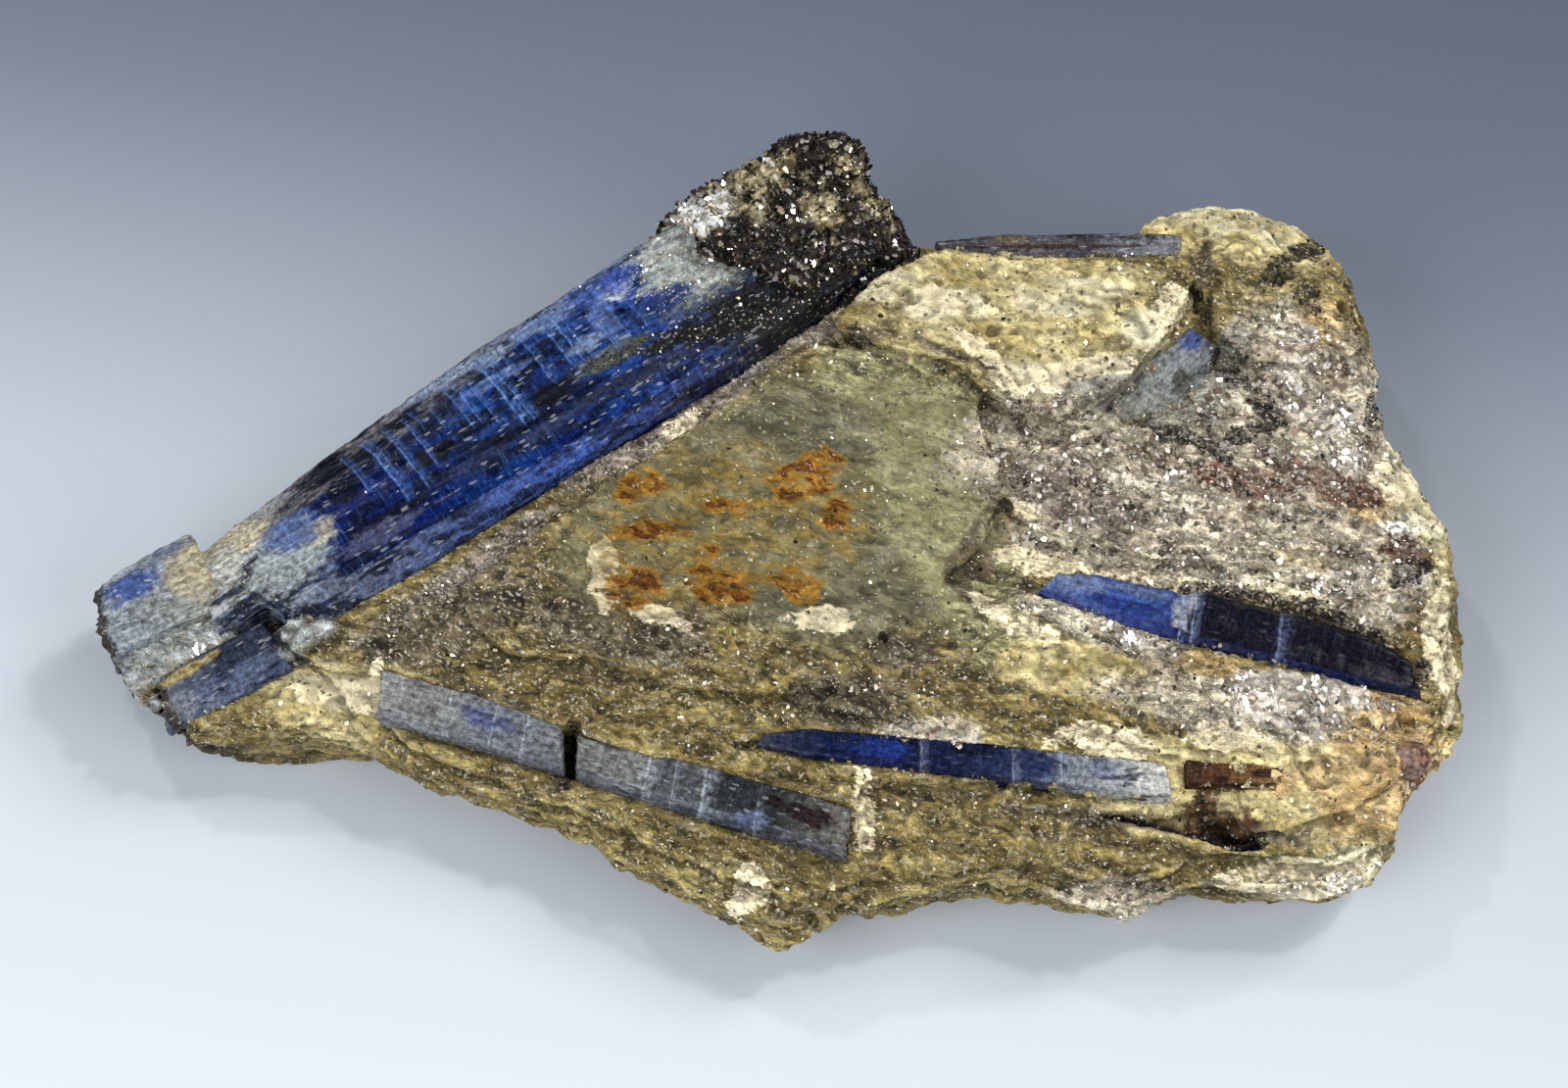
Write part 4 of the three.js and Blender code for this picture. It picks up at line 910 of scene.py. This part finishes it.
stub, length = carve("rusty_kyanite_stub", "rusty_stub", 0.16, 0.1, 0.06, 0.4, 190, 2)
finish = kyanite("rusty_kyanite", "0 .04 .016 .009, .4 .07 .028 .012, .75 .15 .08 .03, 1 .3 .2 .09", length,
                 dark=(0.012, 0.006, 0.005), dark_share=0.5, pale=(0.3, 0.2, 0.1), clear=0.0, roughness=0.4,
                 glint_specks=0.03)
keep(stub, "rusty_stub", finish)

# %% [markdown]
# ## The inset blade
# This blade is let into the right of the slab. It is blue as far as one pale parting and nearly black beyond it.
# A mask could part the two colours, but two stops of the ramp that lie close together do it with no extra node.

# %% The inset blade
inset, length = carve("inset_kyanite_blade", "inset_blade", 0.18, 0.06, 0.04, 0.3, 200)
finish = kyanite("inset_kyanite", """0 .12 .17 .32, .16 .04 .08 .27, .34 .035 .07 .22, .365 .3 .31 .34,
                     .39 .25 .25 .27, .405 .004 .004 .01, 1 .003 .003 .008""",
                 length, dark_share=0.6, pale_share=0.66, pale=(0.15, 0.19, 0.34), clear=0.1,
                 facet="0 .05 .08 .28, .3 .02 .035 .17, .4 .006 .01 .05, .8 .006 .012 .06, 1 .01 .012 .03",
                 partings="11 .08 .9 -2.5 2.5, 12 .1 .9 -2.5 2.5, 18.9 .15 .5 -2.5 2.5",
                 spots="""6.5 -.4 3.4 .5 .85 .012 .025 .14, 2.4 .6 2.6 .8 .75 .15 .19 .3,
                     7.6 1 3 .5 .6 .12 .15 .24""",
                 milk=0.12, scratches=0.2, glint_specks=0.05)
keep(inset, "inset_blade", finish)

# %% [markdown]
# ## Two quiet crystals
# A thin grey blade follows the back rim, and one pale crystal only just breaks the surface. Both are dull and
# cloudy. The buried one is carved with deeper steps and more scratches, since its face is worn.

# %% The rim blade and the buried crystal
rim, length = carve("rim_kyanite_blade", "rim_blade", 0.17, 0.05, 0.04, 0.2, 210)
finish = kyanite("rim_kyanite", """0 .05 .048 .05, .4 .09 .085 .09, .6 .05 .05 .06, .7 .12 .125 .14,
                     1 .18 .185 .19""", length,
                 dark=(0.025, 0.02, 0.02), dark_share=0.54, pale=(0.2, 0.2, 0.22),
                 spots="10 -.2 8 .2 .9 .04 .018 .01, 6 .5 1.6 .4 .8 .16 .11 .06")
keep(rim, "rim_blade", finish)

buried, length = carve("buried_kyanite", "buried_blade", 0.17, 0.14, 0.06, 0.5, 220, 3)
finish = kyanite("buried_kyanite", "0 .17 .165 .13, .5 .2 .215 .21, 1 .12 .135 .16", length,
                 dark=(0.05, 0.05, 0.04), dark_share=0.48, pale=(0.36, 0.38, 0.36), milk=0.6, roughness=0.35,
                 scratches=0.7, spots="9.2 .6 1.2 .8 .9 .04 .06 .2")
keep(buried, "buried_blade", finish)

# %% [markdown]
# ## The biotite crust
# Black mica has grown over the upper end of the large blade as a tangle of books. Its lump is roughened strongly,
# and then covered in leaves of black, golden and silver mica that stand at steep angles. Modelling every book
# would take thousands of small solids, and the leaves give the same ragged outline for far less.

# %% Crust
crust = fine_net("biotite_books", "biotite_crust", 0.2)
net = crust.data
points, edges = points_of(net), edges_of(net)
points = softened(points, edges, 4)
facing = normals_of(net)
offset, shares = chips(points + 0.4 * rough(points, 1.5, 301)[:, None], (1.5, 1.2, 0.7), 303)
height = (offset * (shares - 0.5)).sum(1) * 1.1 + (shares[:, 1] - 0.5) * 0.5 + 0.5 * rough(points, 2.6, 305) + 0.1
points = points + facing * height[:, None]
points[:, 2] = np.minimum(points[:, 2], cad_box[1][2] / MM)
move_points(net, points)
gold = patch(points, "-1.5 28.6 3.4 1.8 30, 3.6 25.8 2.4 1.4 -40, 7.6 28 2.8 1.2 -60, -5.5 25.5 2 1.4 20",
             1.2, 311, 1.2)
upper_edge = fade(points[:, 1] - middle[1] - 0.4 * points[:, 0], 23, 28)
gold = np.maximum(0.7 * gold, 0.9 * fade(rough(points, 1.3, 313), 0.12, 0.4) * upper_edge)
# The glassy patch is a painted highlight: a near-white glint over the grey veil at the crust's upper left, where
# bright leaves also crowd.
glassy_glint = patch(points, "-6.2 25.4 3.4 2 35", 0.5, 317, 1.6)
store(net, "gold", gold)
store(net, "glassy_glint", glassy_glint)

def crust_finish():
    r = Recipe("biotite_crust")
    place = r.place()
    fine = r.noise(r.stretched(place, (1.3, 1.0, 0.7)), 0.7, 4, 0.65)
    colour = r.ramp(fine, ".35 .005 .005 .004, .55 .02 .018 .014, .68 .14 .115 .075")
    colour = r.blend(r.read("gold"), colour, r.ramp(fine, ".36 .14 .1 .04, .54 .85 .74 .44"))
    colour = r.blend(r.read("glassy_glint"), colour, r.ramp(fine, ".32 .5 .51 .48, .48 .96 .97 .94"))
    r.set(Base_Color=colour, Roughness=r.between(fine, 0.4, 0.7, 0.2, 0.5),
          Normal=r.leaning(r.bump(fine, 0.4), place, 0.25, 0.9), Specular_IOR_Level=0.15)
    return r.material

keep(crust, "biotite_crust", crust_finish())

random = np.random.default_rng(33)
CRUST_PLACES = 26000
spots, normals, vertex = face_samples(net, int(CRUST_PLACES * density), random)
is_gold, in_glassy_glint = gold[vertex], glassy_glint[vertex]
draw = random.random(len(spots))
ROCK_TOP = 9
above = spots[:, 2] > ROCK_TOP
for name, chosen, material, lean, dip in (
    ("crust_black_leaves", above & (draw < 0.6 * (1 - is_gold) * (1 - in_glassy_glint) ** 2), BLACK_MICA, 0.6, 0.0),
    ("crust_golden_leaves", above & (draw > 1 - 0.42 * is_gold - 0.06), GOLDEN_MICA, 0.45, 0.0),
    ("crust_silver_leaves", above & (draw > 0.55) & (draw < 0.6 + 0.6 * in_glassy_glint), BRIGHT_MICA, 0.35, 0.8),
):
    sizes = 0.08 + 0.3 * random.random(chosen.sum()) ** 3
    leaves(name, material, spots[chosen], normals[chosen], sizes, lean, random, 0.45, dip=dip)

# %% [markdown]
# ## Mica on the crystals
# Mica leaves lap over the edges of every crystal, so none has a clean outline. They could be painted on, but real
# leaves cast small shadows and catch the light. Each crystal gets random places, and those near the rock are
# kept.

# %% Leaves that lap onto the crystals
rock = BVHTree.FromPolygons([tuple(point) for point in points_of(schist.data)],
                            [tuple(face.vertices) for face in schist.data.polygons])
random = np.random.default_rng(47)
lap_spots, lap_normals = [], []
for piece in (large, tip, foot, upper, lower, navy, stub, inset, rim, buried):
    places = 30000 if piece is large else 9000
    spots, normals, _ = face_samples(piece.data, int(places * density), random)
    gap, way = nearest_on(rock, spots, 0.8)
    share = fade(gap, 0.55, 0.1) * fade(rough(spots, 1.6, 501), -0.1, 0.4)
    if piece in (buried, stub):
        share = np.maximum(share, 0.7 * fade(gap, 1.4, 0.2) * fade(rough(spots, 1.2, 503), -0.2, 0.2))
    chosen = (random.random(len(spots)) < 0.5 * share) & (normals[:, 2] > 0.1)
    lap_spots.append(spots[chosen])
    lap_normals.append(normals[chosen])
lap_spots, lap_normals = np.concatenate(lap_spots), np.concatenate(lap_normals)
half = random.random(len(lap_spots)) < 0.6
leaves("lapping_golden_leaves", GOLDEN_MICA, lap_spots[half], lap_normals[half],
       0.1 + 0.16 * random.random(half.sum()), 0.4, random)
leaves("lapping_silver_leaves", SILVER_MICA, lap_spots[~half], lap_normals[~half],
       0.08 + 0.14 * random.random((~half).sum()), 0.4, random)

# %% [markdown]
# Bits of the schist itself also stick to the crystals. Each is a small ball of a few faces, pushed out of shape
# and flattened, and it takes its colour from the rock beside it, so that it looks broken off there.

# %% Crumbs of schist on the crystals
def crumbs(name, spots, sizes, random):
    """Small broken lumps of schist stuck on the crystals; each takes its colour zones from the nearest rock."""
    ball = bmesh.new()
    bmesh.ops.create_icosphere(ball, subdivisions=1, radius=1)
    corners = np.array([v.co[:] for v in ball.verts])
    sides = np.array([[v.index for v in f.verts] for f in ball.faces])
    ball.free()
    count = len(spots)
    shapes = corners * sizes[:, None, None] * random.uniform(0.35, 1.4, (count, len(corners), 1)) * (1, 1, 0.45)
    turn = random.uniform(0, 2 * math.pi, count)
    x = shapes[..., 0] * np.cos(turn)[:, None] - shapes[..., 1] * np.sin(turn)[:, None]
    y = shapes[..., 0] * np.sin(turn)[:, None] + shapes[..., 1] * np.cos(turn)[:, None]
    points = np.stack([x, y, shapes[..., 2]], -1) + spots[:, None]
    faces = sides + (np.arange(count) * len(corners))[:, None, None]
    mesh = bpy.data.meshes.new(name)
    mesh.from_pydata((points.reshape(-1, 3) * MM).tolist(), [], faces.reshape(-1, 3).tolist())
    piece = put(name, mesh)
    rock_faces = schist.data.polygons
    vertex = np.repeat([rock_faces[rock.find_nearest(spot)[2]].vertices[0] for spot in spots], len(corners))
    for zone in list(zones) + ["hollow"]:
        store(mesh, zone, at_spots(schist.data, zone, vertex))
    mesh.materials.append(schist.data.materials[0])
    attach(piece, "root")
    print(f"{name}: {count} crumbs, {len(mesh.polygons)} triangles")


chosen = random.random(len(lap_spots)) < 0.9 * fade(rough(lap_spots, 0.9, 505), -0.1, 0.3)
crumbs("schist_crumbs", lap_spots[chosen], 0.06 + 0.42 * random.random(chosen.sum()) ** 3, random)

# %% [markdown]
# On the large blade the crust thins out into single leaves. Black ones follow its lower side in a band that
# widens towards the upper end, and bright ones veil that end. The shares are written in the blade's own
# coordinates, because the band runs along the crystal.

# %% Mica on the upper end of the large blade
BLADE_PLACES = 60000
spots, normals, _ = face_samples(large.data, int(BLADE_PLACES * density), random)
start, length, axes = blade_axes("large_blade")
along, across, _ = ((spots - start) @ axes.T).T
wander = rough(spots, 1.6, 511)
facing_up = normals[:, 2] > 0.2
width = 0.35 + 0.075 * (along - 32)
band = fade(along, 31, 34) * fade(np.abs(across + 2.0 + 0.24 * (along - 33)) + 0.5 * wander,
                                  1.25 * width, 0.6 * width)
veil = fade(along + 3 * wander - 0.3 * across, 39, 44)
draw = random.random(len(spots))
for name, slot, material, share, size, lean in (
    ("blade_black_leaves", "biotite", BLACK_MICA, 0.7 * np.maximum(band, fade(along, 50, 57)), 0.14, 0.4),
    ("blade_bright_leaves", "biotite", BRIGHT_MICA, 0.3 * veil * fade(across, -2, 1) + 0.05 * band + 0.004,
     0.14, 0.3),
    ("blade_golden_leaves", "schist", GOLDEN_MICA, 0.1 * veil + 0.05 * fade(along, 8, 3), 0.14, 0.35),
):
    chosen = facing_up & (draw < share)
    draw = random.random(len(spots))
    sizes = 0.05 + size * random.random(chosen.sum()) ** 2
    leaves(name, material, spots[chosen], normals[chosen], sizes, lean, random)

# %% [markdown]
# ## The garnet
# A red-brown grain sits at the right edge. Garnet is hard and grows rounded in schist, so its net is swelled with
# soft lumps and given one plain finish. One grain this small needs no layers.

# %% The garnet grain
grain = fine_net("garnet", "garnet_grain", 0.12)
net = grain.data
points = points_of(net)
points = softened(points, edges_of(net), 2) + normals_of(net) * (0.3 + 0.16 * rough(points, 0.9, 401))[:, None]
move_points(net, points)
r = Recipe("garnet")
r.set(Base_Color=r.ramp(r.noise(r.place(), 0.5), ".38 .06 .026 .02, .6 .3 .17 .11"), Roughness=0.3)
keep(grain, "garnet_grain", r.material)

# %% [markdown]
# ## Studio
# The specimen lies on plain paper whose colour runs from pale at the front to grey-blue at the back, painted
# shade for the light falling off towards the back. A soft light stands to the back right, and two large ones fill
# from the front. Two small lamps give the mica its hard glints. Large lamps alone would leave it dull, because only
# a small lamp makes a small, bright reflection.

# %% Paper, lights and camera
def paper():
    mesh = bpy.data.meshes.new("paper")
    mesh.from_pydata([(-1.5, -1.5, 0), (1.5, -1.5, 0), (1.5, 1.5, 0), (-1.5, 1.5, 0)], [], [(0, 1, 2, 3)])
    sheet = put("paper", mesh)
    r = Recipe("paper")
    # The colour darkens towards the back: painted shade.
    depth = r.add("ShaderNodeSeparateXYZ", output=1, Vector=r.turned(r.place(), 12))
    r.set(Base_Color=r.ramp(r.between(depth, -75, 75),
                            "0 .73 .78 .83, .5 .5 .545 .6, .85 .185 .213 .27, 1 .105 .125 .168"),
          Roughness=0.9, Specular_IOR_Level=0.1)
    mesh.materials.append(r.material)


def soft_light(name, spot, size, power, tint=(1, 1, 1)):
    lamp = bpy.data.lights.new(name, "AREA")
    lamp.shape = "DISK"
    lamp.size = size
    lamp.energy = power
    lamp.color = tint
    holder = put(name, lamp)
    holder.location = spot
    holder.rotation_euler = (-Vector(spot)).to_track_quat("-Z", "Y").to_euler()


paper()
soft_light("key", (0.40, 0.2, 0.5), 0.28, 1.5, (1.0, 0.98, 0.95))
soft_light("key_glint", (0.3, 0.12, 0.55), 0.05, 0.6)
soft_light("back_glint", (-0.22, 0.3, 0.5), 0.05, 0.5)
soft_light("left_fill", (-0.45, -0.4, 0.5), 0.6, 3.8, (0.96, 0.98, 1.0))
soft_light("right_fill", (0.5, -0.35, 0.5), 0.6, 2.0, (1.0, 0.99, 0.97))

world = bpy.data.worlds.new("studio")
world.use_nodes = True
sky = world.node_tree.nodes["Background"].inputs
sky["Color"].default_value = (0.85, 0.9, 1.0, 1)
sky["Strength"].default_value = 0.24
bpy.context.scene.world = world

ELEVATION = math.radians(64)
DISTANCE = 0.3
centre = (Vector(cad_box[0]) + Vector(cad_box[1])) / 2
aim = centre + Vector((0.00063, -0.0007, -0.0011))
camera = put("camera", bpy.data.cameras.new("camera"))
camera.data.lens = 85
camera.data.sensor_width = 36
camera.data.clip_start = 0.01
camera.location = aim + DISTANCE * Vector((0, -math.cos(ELEVATION), math.sin(ELEVATION)))
camera.rotation_euler = (aim - camera.location).to_track_quat("-Z", "Y").to_euler()
bpy.context.scene.camera = camera
bpy.context.scene.view_settings.view_transform = "Standard"
